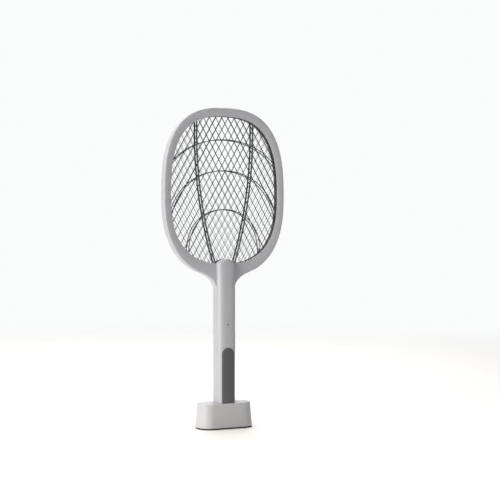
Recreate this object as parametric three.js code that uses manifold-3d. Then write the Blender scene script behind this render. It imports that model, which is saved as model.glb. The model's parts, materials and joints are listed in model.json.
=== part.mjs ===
// An electric fly swatter standing in its charging dock.
//
// Frame: millimetres, +Z up, origin on the surface that the dock stands on, in the middle of the dock.
// The racket's front faces -Y, so +X is to its right when it is seen from the front.
//
// The racket is two moulded shells, screwed together from the rear. Round the head they clamp three nets
// apart with two black rings, and in the handle they hold a cell, a board and the controls.
// The dock is a weighted box with a socket for the handle, two sprung pins and a charging inlet.

import * as THREE from "three";
import { mergeVertices } from "three/addons/utils/BufferGeometryUtils.js";
import Module from "manifold-3d";

const wasm = await Module();
wasm.setup();

// ---------------------------------------------------------------- clearances

const PARTING = 0.2; // between the two shells
const FIT = 0.3; // round a piece that sits in a pocket of another
const STACK = 0.2; // between flat pieces that lie on each other
const SLIDING = 0.35; // round a piece that moves in an opening

// ---------------------------------------------------------------- dock

const dock = {
  width: 94,
  depth: 46,
  height: 40.3,
  corner: 20,
  draft: 2.7, // how far each side leans in from bottom to top
  edge: 0.8, // chamfer round the top
  wall: 2.2,
  socketDepth: 24.5,
  socketWall: 2,
  socketFloor: 2,
  padThickness: 2,
  padInset: 0.8,
  plateThickness: 2,
};

const ballast = { width: 12, depth: 34, height: 20, standOff: 2 };
const chargeBoard = { width: 26, depth: 34, thickness: 1.6, lift: 1.5 };
const inlet = { width: 9, height: 3.2, depth: 7.3, wall: 0.35, tongueWidth: 6.2, tongue: 0.7, back: 1.2 };
const pin = { spacing: 12, radius: 1.2, barrelWall: 0.8, stroke: 1, shoulder: 0.35 };
const pinTipGap = 0.3;

// ---------------------------------------------------------------- handle

const handle = {
  halfWidth: 15.4,
  rearDepth: 12,
  neckDepth: 14.8, // how far the front stands forward at the top of the tube
  shaftDepth: 16.8,
  gripDepth: 17.5,
  bulge: 1.5, // how much the front bows out across its width
  frontSquareness: 5, // exponents of the section's rounded square
  rearSquareness: 4.4,
  wall: 2.2,
  crown: 6.6, // how much the round top of the tube rises
  lap: 7.4, // how far the tube reaches over the net
};
// Heights above the handle's lower end where the front changes depth.
const gripEnd = 126;
const shaftStart = 144;
const shaftEnd = 200;

const panel = { width: 20.6, height: 112.4, thickness: 1.4, proud: 0.25, start: 5 };
const indicator = { height: 149, radius: 1.1, flange: 1.9, flangeThickness: 0.9 };
const button = {
  height: 128,
  width: 10,
  length: 19,
  proud: 1.3,
  travel: 1.1,
  flange: 1.3,
  flangeThickness: 1.4,
};
const slider = { height: 163, width: 5, length: 8, proud: 1.5, travel: 2.6, recess: 0.9, plate: 1, lip: 1.2 };
const cap = { thickness: 5, bead: 0.9, beadHeight: 1.2, beadLift: 1.9 };
const contact = { radius: 2.4, thickness: 1, recess: 1.2, stem: 1.1, tail: 1.2 };

const cell = { radius: 9.2, length: 65, lift: 17, nub: 2.9, nubHeight: 1 };
// The tab's width as a share of the nub and its reach as a share of the cell.
const tab = { width: 0.8, reach: 0.8, thickness: 0.3 };
const board = { sideGap: 2.1, length: 84, thickness: 1.6, lift: 96, rear: 1.3 };
const rib = { thickness: 1.6, inset: 4 };
const transformer = { width: 13, height: 12, depth: 9, lift: 28 };
const capacitor = { width: 12, height: 7, depth: 6, lift: 66 };
const tactSwitch = { width: 6, depth: 3.2, stem: 1.75 };
const slideSwitch = { width: 6.5, height: 12, depth: 4 };
const lamp = { radius: 1.4, depth: 5 };
const lead = { radius: 0.75, sides: 6, wallGap: 1.3, cellGap: 1.2, channel: 1.8, sideGap: 2.8, spread: 3.6 };

// ---------------------------------------------------------------- head

const opening = { halfWidth: 93.3, up: 126.3, down: 108.3, roundUp: 2.7, roundDown: 2.55 };
const band = { side: 12.4, top: 14.1, bottom: 19.7, roundUp: 2.68, roundDown: 2.45 };
const frame = {
  halfThickness: 7,
  edge: 0.9,
  slope: 1.3, // how much the face sinks towards the net
  lipEdge: 0.4,
  wall: 2,
  lip: 0.8,
};
const headRise = 354.2; // from the handle's lower end to the head's centre
const shoulder = { drop: 34, reach: 44, lift: 14, lowerPull: 0.75, upperPull: 1.6 };
const net = { thickness: 0.4, rim: 4.2, ribRise: 0.4 };
const grid = { thickness: 0.6 };
const ring = { width: 4.6, frontSetBack: 0.3, rearSetBack: 3 };
const headSteps = 60;
const ribSteps = 9;

// The nets' raised ribs, about the head's centre: two that run down the net and three that cross it.
// Each crossing rib ends on the opening's edge at height `end`. `fullness` is how square its arch is.
const longRib = { width: 2.4, top: 48.5, foot: 15.5, upperBend: [52.5, 50], lowerBend: [41, -35] };
const crossRibWidth = 1.5;
const crossRibs = [
  { crest: 89.5, end: 47, fullness: 0.55 },
  { crest: 40, end: -36, fullness: 0.8 },
  { crest: -22, end: -92, fullness: 1.05 },
];

// ---------------------------------------------------------------- fasteners

const shellScrew = { head: 2, headHeight: 1.5, shank: 0.95, boss: 2.6, sunk: 1.2, bite: 6 };
const frameScrew = { head: 1.6, headHeight: 1.1, shank: 0.75, boss: 2.2, sunk: 0.7, bite: 3.2 };
const dockScrew = { head: 2.2, headHeight: 1.4, shank: 1.1, boss: 3, sunk: 0, bite: 9 };
const shellScrewHeights = [9.5, 88.5, 190, 226];
const frameScrewAngles = [62, 118, 4, 176, -47, -133];
const screwSides = 8;

// ---------------------------------------------------------------- heights that follow

const socketFloorTop = dock.height - dock.socketDepth;
const handleFoot = socketFloorTop + STACK;
const headCentre = handleFoot + headRise;
const tubeTop = headCentre - opening.down + handle.lap;
const netRear = frame.halfThickness - frame.slope - frame.lip - STACK;
const ringRear = netRear - net.thickness - STACK;
const ringFront = grid.thickness / 2 + STACK;
const dockFoot = dock.padThickness + STACK;
const insideHalf = handle.halfWidth - handle.wall;
const leadX = lead.radius + lead.wallGap - insideHalf;
// The cell lies midway between the grip's front and rear, and its lead runs up beside it.
const cellY = (handle.rearDepth - handle.gripDepth) / 2;
const leadY = cellY + Math.sqrt(Math.max((cell.radius + lead.radius + lead.cellGap) ** 2 - leadX ** 2, 0));

// ---------------------------------------------------------------- geometry to solid and back

function solid(geometry) {
  const bare = geometry.index ? geometry.toNonIndexed() : geometry.clone();
  bare.deleteAttribute("normal");
  bare.deleteAttribute("uv");
  const merged = mergeVertices(bare, 1e-4);
  const vertProperties = merged.attributes.position.array;
  const triVerts = new Uint32Array(merged.index.array);
  return new wasm.Manifold(new wasm.Mesh({ numProp: 3, vertProperties, triVerts }));
}

function geometryOf(body) {
  const mesh = body.getMesh();
  const geometry = new THREE.BufferGeometry();
  geometry.setAttribute("position", new THREE.BufferAttribute(new Float32Array(mesh.vertProperties), 3));
  geometry.setIndex(new THREE.BufferAttribute(new Uint32Array(mesh.triVerts), 1));
  geometry.computeVertexNormals();
  return geometry;
}

const joined = (...bodies) => bodies.reduce((sum, body) => sum.add(body));
const cutBy = (body, ...tools) => tools.reduce((rest, tool) => rest.subtract(tool), body);

function signedVolume(position, index) {
  const [a, b, c] = [new THREE.Vector3(), new THREE.Vector3(), new THREE.Vector3()];
  let sum = 0;
  for (let i = 0; i < index.length; i += 3) {
    a.fromBufferAttribute(position, index[i]);
    b.fromBufferAttribute(position, index[i + 1]);
    c.fromBufferAttribute(position, index[i + 2]);
    sum += a.dot(b.cross(c));
  }
  return sum / 6;
}

// A skin over rings that hold the same number of points. With `loop` the last ring joins the first,
// as on a tyre. Otherwise both ends are capped, and their rings lie in planes of constant Z.
function loft(rings, loop = false) {
  const count = rings[0].length;
  const clockwise = !loop && THREE.ShapeUtils.area(rings[0]) < 0;
  const points = rings.flatMap((ring) => (clockwise ? ring.slice().reverse() : ring));
  const index = [];
  const spans = loop ? rings.length : rings.length - 1;
  for (let r = 0; r < spans; r++) {
    const here = r * count;
    const next = ((r + 1) % rings.length) * count;
    for (let i = 0; i < count; i++) {
      const j = (i + 1) % count;
      index.push(here + i, here + j, next + j, here + i, next + j, next + i);
    }
  }
  if (!loop) {
    const flat = points.slice(0, count).map((p) => new THREE.Vector2(p.x, p.y));
    const last = (rings.length - 1) * count;
    for (const [a, b, c] of THREE.ShapeUtils.triangulateShape(flat, [])) {
      index.push(a, c, b, last + a, last + b, last + c);
    }
  }
  const geometry = new THREE.BufferGeometry().setFromPoints(points);
  if (signedVolume(geometry.attributes.position, index) < 0) index.reverse();
  geometry.setIndex(index);
  return solid(geometry);
}

// Shapes drawn as (x, z) and given thickness between two values of y.
function plate(shape, yLow, yHigh, curveSegments = 12) {
  const geometry = new THREE.ExtrudeGeometry(shape, {
    depth: yHigh - yLow,
    bevelEnabled: false,
    curveSegments,
  });
  return solid(geometry.rotateX(Math.PI / 2).translate(0, yHigh, 0));
}

// Shapes drawn as (x, y) and given height between two values of z.
function slab(shape, zLow, zHigh, curveSegments = 6) {
  const geometry = new THREE.ExtrudeGeometry(shape, {
    depth: zHigh - zLow,
    bevelEnabled: false,
    curveSegments,
  });
  return solid(geometry.translate(0, 0, zLow));
}

function block(xLow, xHigh, yLow, yHigh, zLow, zHigh) {
  const geometry = new THREE.BoxGeometry(xHigh - xLow, yHigh - yLow, zHigh - zLow);
  return solid(geometry.translate((xLow + xHigh) / 2, (yLow + yHigh) / 2, (zLow + zHigh) / 2));
}

// A rod along +Y or +Z from `start`.
function rodY(radius, x, z, yLow, yHigh, sides = screwSides) {
  const geometry = new THREE.CylinderGeometry(radius, radius, yHigh - yLow, sides);
  return solid(geometry.translate(x, (yLow + yHigh) / 2, z));
}

function rodZ(radius, x, y, zLow, zHigh, sides = screwSides) {
  const geometry = new THREE.CylinderGeometry(radius, radius, zHigh - zLow, sides);
  return solid(geometry.rotateX(Math.PI / 2).translate(x, y, (zLow + zHigh) / 2));
}

// ---------------------------------------------------------------- outlines

const power = (value, exponent) => Math.sign(value) * Math.abs(value) ** exponent;

// A round-cornered oval whose two halves may differ, met by a ray at `angle` from its centre.
function ovalPoint(angle, side, up, down, roundUp, roundDown) {
  const [c, s] = [Math.cos(angle), Math.sin(angle)];
  const [reach, round] = s < 0 ? [down, roundDown] : [up, roundUp];
  const radius = ((Math.abs(c) / side) ** round + (Math.abs(s) / reach) ** round) ** (-1 / round);
  return new THREE.Vector2(radius * c, radius * s);
}

const openingPoint = (angle, grow = 0) =>
  ovalPoint(
    angle,
    opening.halfWidth + grow,
    opening.up + grow,
    opening.down + grow,
    opening.roundUp,
    opening.roundDown,
  );

const rimPoint = (angle) =>
  ovalPoint(
    angle,
    opening.halfWidth + band.side,
    opening.up + band.top,
    opening.down + band.bottom,
    band.roundUp,
    band.roundDown,
  );

function openingShape(grow) {
  const points = [];
  for (let i = 0; i < headSteps; i++) points.push(openingPoint((2 * Math.PI * i) / headSteps, grow));
  return new THREE.Shape(points.map((p) => new THREE.Vector2(p.x, p.y + headCentre)));
}

// The head's outer outline, with the shoulders that lead into the handle, about the head's centre.
function headOutline() {
  const foot = opening.down + band.bottom + shoulder.drop;
  const start = Math.asin(-Math.sqrt(1 - (shoulder.reach / (opening.down + band.bottom)) ** 2));
  const right = [];
  const upper = Math.PI / 2;
  for (let i = 0; i <= headSteps / 2; i++) {
    right.push(rimPoint(start + ((upper - start) * i) / (headSteps / 2)));
  }
  const [from, along] = [right[0], right[1]];
  const slope = along.clone().sub(from).normalize();
  const curve = new THREE.CubicBezierCurve(
    new THREE.Vector2(handle.halfWidth - PARTING, -foot),
    new THREE.Vector2(handle.halfWidth - PARTING, -foot + shoulder.drop * shoulder.lowerPull),
    from.clone().addScaledVector(slope, -shoulder.lift * shoulder.upperPull),
    from,
  );
  const points = [...curve.getPoints(10).slice(0, -1), ...right];
  const left = points.slice(0, -1).reverse();
  return [...points, ...left.map((p) => new THREE.Vector2(-p.x, p.y))];
}

// Moves each point of a closed outline sideways, inwards for a positive distance.
function inset(points, distance) {
  return points.map((point, i) => {
    const before = points[(i + points.length - 1) % points.length];
    const after = points[(i + 1) % points.length];
    const along = after.clone().sub(before).normalize();
    return new THREE.Vector2(point.x - along.y * distance, point.y + along.x * distance);
  });
}

function roundedRectangle(halfX, halfY, corner) {
  const shape = new THREE.Shape();
  shape.absarc(halfX - corner, halfY - corner, corner, 0, Math.PI / 2);
  shape.absarc(corner - halfX, halfY - corner, corner, Math.PI / 2, Math.PI);
  shape.absarc(corner - halfX, corner - halfY, corner, Math.PI, 1.5 * Math.PI);
  shape.absarc(halfX - corner, corner - halfY, corner, 1.5 * Math.PI, 2 * Math.PI);
  return shape;
}

// A slot with round ends, standing upright in an (x, z) drawing.
function pill(width, length, centreZ) {
  const radius = width / 2;
  const straight = length / 2 - radius;
  const shape = new THREE.Shape();
  shape.absarc(0, centreZ + straight, radius, 0, Math.PI);
  shape.absarc(0, centreZ - straight, radius, Math.PI, 2 * Math.PI);
  return shape;
}

// ---------------------------------------------------------------- handle sections

function frontDepth(height) {
  const stations = [
    [0, handle.gripDepth],
    [gripEnd, handle.gripDepth],
    [shaftStart, handle.shaftDepth],
    [shaftEnd, handle.shaftDepth],
    [tubeTop - handleFoot, handle.neckDepth],
  ];
  const next = stations.findIndex(([station]) => station >= height);
  if (next < 1) return next < 0 ? handle.neckDepth : handle.gripDepth;
  const [[low, depthLow], [high, depthHigh]] = [stations[next - 1], stations[next]];
  return THREE.MathUtils.lerp(depthLow, depthHigh, (height - low) / (high - low));
}

// Half of the handle's section at one height. side is -1 for the front half and +1 for the rear half.
function halfSection(side, height, shrink, parting, steps = 14) {
  const width = handle.halfWidth - shrink;
  const depth = (side < 0 ? frontDepth(height) : handle.rearDepth) - shrink;
  const squareness = side < 0 ? handle.frontSquareness : handle.rearSquareness;
  const ring = [];
  for (let i = 0; i <= steps; i++) {
    const angle = (Math.PI * i) / steps;
    const x = width * power(Math.cos(angle), 2 / squareness);
    const bulge = side < 0 ? handle.bulge * (x / width) ** 2 : 0;
    const y = (depth - bulge) * power(Math.sin(angle), 2 / squareness);
    ring.push(new THREE.Vector3(x, side * Math.max(y, parting), handleFoot + height));
  }
  return ring;
}

const stationsBetween = (low, high) =>
  [low, ...[gripEnd, shaftStart, shaftEnd].filter((h) => h > low && h < high), high];

function halfTube(side, shrink, low, high, parting) {
  return loft(stationsBetween(low, high).map((h) => halfSection(side, h, shrink, parting)));
}

// The whole handle's section, for what surrounds it or fills it.
function wholeSection(shrink, height) {
  const front = halfSection(-1, height, shrink, 0);
  const rear = halfSection(1, height, shrink, 0).reverse().slice(1, -1);
  return new THREE.Shape([...front, ...rear].map((p) => new THREE.Vector2(p.x, p.y)));
}

// The front view of the handle, whose top is a flat arch, `shrink` inside the outer skin.
function tubeView(shrink) {
  const half = handle.halfWidth + 1;
  const spring = tubeTop - handle.crown;
  const radius = (handle.halfWidth ** 2 + handle.crown ** 2) / (2 * handle.crown);
  const centre = tubeTop - radius;
  const reach = Math.asin((handle.halfWidth - shrink) / (radius - shrink));
  const shape = new THREE.Shape();
  shape.moveTo(-half, handleFoot - 1);
  shape.lineTo(half, handleFoot - 1);
  shape.lineTo(half, spring - shrink);
  shape.absarc(0, centre, radius - shrink, Math.PI / 2 - reach, Math.PI / 2 + reach);
  shape.lineTo(-half, spring - shrink);
  return shape;
}

function tubeHalf(side, shrink, low, parting) {
  const span = [-handle.gripDepth - 1, handle.gripDepth + 1];
  const body = halfTube(side, shrink, low, tubeTop - handleFoot, parting);
  return body.intersect(plate(tubeView(shrink), ...span, 16));
}

// ---------------------------------------------------------------- screws

const onFrame = (degrees) => {
  const angle = THREE.MathUtils.degToRad(degrees);
  const [outer, inner] = [rimPoint(angle), openingPoint(angle)];
  const out = outer.clone().sub(inner);
  const point = outer.addScaledVector(out.normalize(), -frame.wall - frameScrew.boss + PARTING);
  return new THREE.Vector2(point.x, point.y + headCentre);
};

const shellScrewPlaces = shellScrewHeights.map((height) => new THREE.Vector2(0, handleFoot + height));
const frameScrewPlaces = frameScrewAngles.map(onFrame);

function dockScrewPlaces() {
  const reach = (dock.corner - dock.wall - dock.draft - dockScrew.boss) * Math.SQRT1_2;
  const x = dock.width / 2 - dock.corner + reach;
  const y = dock.depth / 2 - dock.corner + reach;
  return [[x, y], [-x, y], [-x, -y], [x, -y]];
}

// The flat of a screw's head and its rounded edge, as shares of the head's radius and height.
const screwCrown = { flat: 0.8, edge: 0.4 };

// A pan-head screw as a turned profile, head down at z = 0 and shank along +Z.
function screwGeometry(size, length) {
  const profile = [
    [0, 0],
    [size.head * screwCrown.flat, 0],
    [size.head, size.headHeight * screwCrown.edge],
    [size.head, size.headHeight],
    [size.shank, size.headHeight],
    [size.shank, size.headHeight + length - size.shank],
    [0, size.headHeight + length],
  ];
  const points = profile.map(([r, z]) => new THREE.Vector2(r, z));
  return new THREE.LatheGeometry(points, screwSides);
}

// The bosses and holes of one screw through both shells. rearFace is where the rear skin is.
function bossPair(size, place, frontEnd, rearFace) {
  const { x, y: z } = place;
  const headSeat = rearFace - size.sunk - size.headHeight;
  return {
    front: rodY(size.boss, x, z, frontEnd, -PARTING / 2),
    rear: rodY(size.boss, x, z, PARTING / 2, rearFace - size.sunk),
    pilot: rodY(size.shank + FIT, x, z, -size.bite - FIT, 0),
    clearance: rodY(size.shank + FIT, x, z, 0, headSeat + FIT),
    counterbore: rodY(size.head + FIT, x, z, headSeat - FIT, rearFace + 2),
  };
}

// ---------------------------------------------------------------- head frame

// The skin of one half of the head frame, with its outer wall, face and lip. side is -1 or +1.
function frameHalf(side) {
  const outer = headOutline();
  const inner = outer.map((p) => openingPoint(Math.atan2(p.y, p.x)));
  const face = frame.halfThickness;
  const lipFace = face - frame.slope;
  const lipRear = lipFace - frame.lip;
  const levels = [
    [outer, PARTING / 2],
    [outer, face - frame.edge],
    [inset(outer, frame.edge), face],
    [inner.map((p) => p.clone().setLength(p.length() + frame.lipEdge)), lipFace],
    [inner, lipFace - frame.lipEdge],
    [inner, lipRear],
    [inset(outer, frame.wall), lipRear],
    [inset(outer, frame.wall), PARTING / 2],
  ];
  const rings = levels.map(([line, depth]) =>
    line.map((p) => new THREE.Vector3(p.x, side * depth, p.y + headCentre)),
  );
  return loft(rings, true);
}

// What is taken out of both shells so that the nets and rings can lie between them.
const netRoom = () => {
  const reach = netRear + STACK;
  return plate(openingShape(ring.width + FIT), -reach, reach);
};

// ---------------------------------------------------------------- controls and inlays

const panelFoot = handleFoot + panel.start;
const panelTop = handleFoot + panel.height;

// The grip panel's front view: square below, round at the top.
function panelView(grow) {
  const half = panel.width / 2 + grow;
  const shape = new THREE.Shape();
  shape.moveTo(-half, panelFoot - grow);
  shape.lineTo(half, panelFoot - grow);
  shape.absarc(0, panelTop - panel.width / 2, half, 0, Math.PI);
  return shape;
}

function gripPanel(grow) {
  const high = panel.height + FIT + 2;
  const [outside, inside] = [-panel.proud, panel.thickness + grow];
  const skin = halfTube(-1, outside, 0, high, 0).subtract(halfTube(-1, inside, 0, high, 0));
  const front = handle.gripDepth + 2;
  return skin.intersect(plate(panelView(grow), -front, -handle.gripDepth / 3));
}

const buttonZ = handleFoot + button.height;
const sliderZ = handleFoot + slider.height;
const indicatorZ = handleFoot + indicator.height;
const rearInside = handle.rearDepth - handle.wall;
const indicatorDepth = frontDepth(indicator.height);

// How far back the handle's inside reaches, `x` to one side of its middle.
function rearInsideAt(x) {
  return rearInside * (1 - (x / insideHalf) ** handle.rearSquareness) ** (1 / handle.rearSquareness);
}

function zapButton() {
  const flangeTop = rearInsideAt(button.width / 2 + button.flange) - SLIDING;
  const key = pill(button.width, button.length, buttonZ);
  const flange = pill(button.width + 2 * button.flange, button.length + 2 * button.flange, buttonZ);
  const foot = board.rear + tactSwitch.depth + tactSwitch.stem + button.travel + STACK;
  return joined(
    plate(key, flangeTop - button.flangeThickness, handle.rearDepth + button.proud),
    plate(flange, flangeTop - button.flangeThickness, flangeTop),
    rodY(tactSwitch.stem, 0, buttonZ, foot, flangeTop),
  );
}

// The switch's knob: a key in the recess, a plate behind the wall and a stem into the switch.
function modeSlider() {
  const top = handle.rearDepth - slider.recess + slider.proud;
  const sideHalf = slider.width / 2 + 1;
  const inside = rearInsideAt(sideHalf) - SLIDING;
  const key = pill(slider.width, slider.length, sliderZ);
  const plateHalf = slider.length / 2 + slider.travel + slider.lip;
  const stemHalf = slider.width / 2 - 1;
  const backStop = board.rear + slideSwitch.depth + SLIDING;
  return joined(
    plate(key, inside - slider.plate, top),
    block(-sideHalf, sideHalf, inside - slider.plate, inside, sliderZ - plateHalf, sliderZ + plateHalf),
    block(-stemHalf, stemHalf, backStop, inside, sliderZ - 1.5, sliderZ + 1.5),
  );
}

// ---------------------------------------------------------------- shells

function boardRib(side, z) {
  const half = handle.halfWidth - handle.wall / 2;
  const front = board.rear - board.thickness - STACK;
  const [low, high] = side < 0
    ? [-handle.shaftDepth + handle.wall / 2, front]
    : [board.rear + STACK, rearInside + handle.wall / 2];
  return block(-half, half, low, high, z - rib.thickness / 2, z + rib.thickness / 2);
}

const boardRibHeights = () => {
  const foot = handleFoot + board.lift;
  return [foot + rib.inset, foot + board.length - rib.inset];
};

const cellRibHeights = () => {
  const foot = handleFoot + cell.lift;
  return [foot + 2 * rib.inset, foot + cell.length - 2 * rib.inset];
};

function cellRib(side, z) {
  const half = handle.halfWidth - handle.wall / 2;
  const reach = (side < 0 ? handle.gripDepth : handle.rearDepth) - handle.wall / 2;
  const [low, high] = side < 0 ? [-reach, -PARTING] : [PARTING, reach];
  const body = block(-half, half, low, high, z - rib.thickness / 2, z + rib.thickness / 2);
  return cutBy(
    body,
    rodZ(cell.radius + FIT, 0, cellY, z - rib.thickness, z + rib.thickness, 24),
    rodZ(lead.channel, leadX, leadY, z - rib.thickness, z + rib.thickness),
    block(leadX, 0, leadY - lead.channel, leadY + lead.channel, z - rib.thickness, z + rib.thickness),
  );
}

// A groove round the inside of the handle that holds the bead of its end cap.
function capGroove() {
  const low = handleFoot + cap.beadLift - STACK;
  return slab(wholeSection(handle.wall - cap.bead - FIT, 0), low, low + cap.beadHeight + 2 * STACK);
}

function shellHalf(side) {
  const skin = tubeHalf(side, 0, 0, PARTING / 2);
  const hollow = tubeHalf(side, handle.wall, -1, -1);
  const inside = tubeHalf(side, handle.wall / 2, 0, PARTING / 2);
  const ribs = [
    ...boardRibHeights().map((z) => boardRib(side, z)),
    ...cellRibHeights().map((z) => cellRib(side, z)),
  ];
  let body = joined(skin, frameHalf(side)).subtract(hollow);
  body = joined(body, ...ribs.map((r) => r.intersect(inside)));
  const part = side < 0 ? "front" : "rear";
  const bosses = [
    ...shellScrewPlaces.map((place, i) => {
      const depth = frontDepth(shellScrewHeights[i]) - handle.wall / 2;
      return bossPair(shellScrew, place, -depth, handle.rearDepth);
    }),
    ...frameScrewPlaces.map((place) =>
      bossPair(frameScrew, place, -frame.halfThickness + frame.slope, frame.halfThickness - frame.slope / 2),
    ),
  ];
  body = joined(body, ...bosses.map((b) => b[part]));
  const holes = bosses.flatMap((b) => (side < 0 ? [b.pilot] : [b.clearance, b.counterbore]));
  return cutBy(body, netRoom(), capGroove(), ...holes);
}

function frontShell() {
  const lensHole = rodY(indicator.radius + FIT, 0, indicatorZ, -indicatorDepth - 1, 0, 16);
  const clearPocket = gripPanel(FIT);
  return cutBy(shellHalf(-1), clearPocket, lensHole);
}

function rearShell() {
  const out = handle.rearDepth;
  const keyHole = pill(button.width + 2 * SLIDING, button.length + 2 * SLIDING, buttonZ);
  const slotLength = slider.length + 2 * (slider.travel + SLIDING);
  const slot = pill(slider.width + 2 * SLIDING, slotLength, sliderZ);
  const dish = pill(slider.width + 6, slotLength + 6, sliderZ);
  return cutBy(
    shellHalf(1),
    plate(keyHole, out / 2, out + 2),
    plate(slot, out / 2, out + 2),
    plate(dish, out - slider.recess, out + 2),
  );
}

// ---------------------------------------------------------------- nets and rings

const netPlane = (side) => {
  const near = side * netRear;
  const far = side * (netRear - net.thickness);
  return [Math.min(near, far), Math.max(near, far)];
};

// Half the opening's width at a height from the head's centre.
function openingHalfAt(height) {
  const [reach, round] = height < 0 ? [opening.down, opening.roundDown] : [opening.up, opening.roundUp];
  return opening.halfWidth * (1 - (Math.abs(height) / reach) ** round) ** (1 / round);
}

// A guard net's ribs in the front view.
function ribShapes() {
  const v = (x, z) => new THREE.Vector2(x, z);
  const { top, foot, upperBend, lowerBend } = longRib;
  const long = (hand) =>
    new THREE.CubicBezierCurve(
      v(hand * top, opening.up + net.rim),
      v(hand * upperBend[0], upperBend[1]),
      v(hand * lowerBend[0], lowerBend[1]),
      v(hand * foot, -opening.down - net.rim),
    );
  const across = crossRibs.map(({ crest, end, fullness }) => {
    const half = openingHalfAt(end);
    // A cubic curve's crest is three quarters of the way up to its two middle points.
    const shoulderHeight = end + ((crest - end) * 4) / 3;
    return new THREE.CubicBezierCurve(
      v(-half, end),
      v(-half * fullness, shoulderHeight),
      v(half * fullness, shoulderHeight),
      v(half, end),
    );
  });
  return [
    ...[1, -1].map((hand) => ribShape(long(hand), longRib.width)),
    ...across.map((curve) => ribShape(curve, crossRibWidth)),
  ];
}

function ribShape(curve, width) {
  const points = curve.getPoints(ribSteps);
  const closed = points.map((p, i) => {
    const along = curve.getTangent(i / ribSteps).multiplyScalar(width / 2);
    return [new THREE.Vector2(p.x - along.y, p.y + along.x), new THREE.Vector2(p.x + along.y, p.y - along.x)];
  });
  const outline = [...closed.map((pair) => pair[0]), ...closed.map((pair) => pair[1]).reverse()];
  return new THREE.Shape(outline.map((p) => new THREE.Vector2(p.x, p.y + headCentre)));
}

function guardNet(side) {
  const [low, high] = netPlane(side);
  const sheet = plate(openingShape(net.rim), low, high);
  const ribs = ribShapes().map((shape) => plate(shape, low - net.ribRise, high + net.ribRise));
  const room = plate(openingShape(-2 * FIT), -frame.halfThickness, frame.halfThickness);
  return joined(sheet, joined(...ribs).intersect(room));
}

const voltageGrid = () => plate(openingShape(net.rim), -grid.thickness / 2, grid.thickness / 2);

function spacerRing(side) {
  const shape = openingShape(ring.width);
  const setBack = side < 0 ? ring.frontSetBack : ring.rearSetBack;
  shape.holes.push(new THREE.Path(openingShape(setBack).getPoints()));
  const [near, far] = [side * ringFront, side * ringRear];
  return plate(shape, Math.min(near, far), Math.max(near, far));
}

// ---------------------------------------------------------------- inside the handle

function endCap() {
  const low = handleFoot;
  const body = slab(wholeSection(handle.wall + FIT, 0), low, low + cap.thickness);
  const bead = slab(
    wholeSection(handle.wall - cap.bead, 0),
    low + cap.beadLift,
    low + cap.beadLift + cap.beadHeight,
  );
  const pocketTop = low + contact.recess + contact.thickness + FIT;
  const pockets = [-1, 1].flatMap((hand) => [
    rodZ(contact.radius + FIT, (hand * pin.spacing) / 2, 0, low - 1, pocketTop),
    rodZ(contact.stem + FIT, (hand * pin.spacing) / 2, 0, low, low + cap.thickness + 1),
  ]);
  return cutBy(joined(body, bead), ...pockets);
}

function contactPad(hand) {
  const x = (hand * pin.spacing) / 2;
  const low = handleFoot + contact.recess;
  return joined(
    rodZ(contact.radius, x, 0, low, low + contact.thickness),
    rodZ(contact.stem, x, 0, low, handleFoot + cap.thickness + contact.tail),
  );
}

function batteryCell() {
  const low = handleFoot + cell.lift;
  const high = low + cell.length;
  return joined(
    rodZ(cell.radius, 0, cellY, low, high, 28),
    rodZ(cell.nub, 0, cellY, high - 1, high + cell.nubHeight),
  );
}

// A spot-welded strip over one end of the cell. end is -1 below and +1 above.
function cellTab(end) {
  const [low, high] = [handleFoot + cell.lift, handleFoot + cell.lift + cell.length + cell.nubHeight];
  const z = end < 0 ? low - STACK : high + STACK;
  const half = cell.nub * tab.width;
  const reach = cell.radius * tab.reach;
  const far = z + end * tab.thickness;
  return block(-half, half, cellY - half, cellY + reach, Math.min(z, far), Math.max(z, far));
}

const boardFoot = handleFoot + board.lift;
const boardFront = board.rear - board.thickness;

function mainBoard() {
  const half = insideHalf - board.sideGap;
  return block(-half, half, boardFront, board.rear, boardFoot, boardFoot + board.length);
}

// A block soldered to one face of the main board.
function onBoard(side, width, height, depth, z) {
  const face = side < 0 ? boardFront - STACK : board.rear + STACK;
  const [low, high] = side < 0 ? [face - depth, face] : [face, face + depth - STACK];
  return block(-width / 2, width / 2, low, high, z - height / 2, z + height / 2);
}

function tact() {
  const body = onBoard(1, tactSwitch.width, tactSwitch.width, tactSwitch.depth, buttonZ);
  const top = board.rear + tactSwitch.depth;
  return joined(body, rodY(tactSwitch.stem, 0, buttonZ, top - 0.5, top + tactSwitch.stem - STACK));
}

function indicatorLamp() {
  const front = -indicatorDepth + handle.wall + indicator.flangeThickness + FIT;
  return joined(
    rodY(lamp.radius, 0, indicatorZ, front, front + lamp.depth, 14),
    rodY(lamp.radius / 2, 0, indicatorZ, front, boardFront - STACK, 8),
  );
}

function indicatorLens() {
  const inner = -indicatorDepth + handle.wall;
  return joined(
    rodY(indicator.radius, 0, indicatorZ, -indicatorDepth + 0.05, inner + FIT, 16),
    rodY(indicator.flange, 0, indicatorZ, inner + STACK, inner + indicator.flangeThickness, 16),
  );
}

// A wire through chosen points, as an extruded round section.
function wire(points) {
  const circle = new THREE.Shape();
  circle.absarc(0, 0, lead.radius, 0, 2 * Math.PI);
  const path = new THREE.CatmullRomCurve3(points.map(([x, y, z]) => new THREE.Vector3(x, y, z)));
  const section = new THREE.Shape(circle.getPoints(lead.sides / 2).slice(0, -1));
  return solid(new THREE.ExtrudeGeometry(section, { steps: 16, extrudePath: path, bevelEnabled: false }));
}

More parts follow.
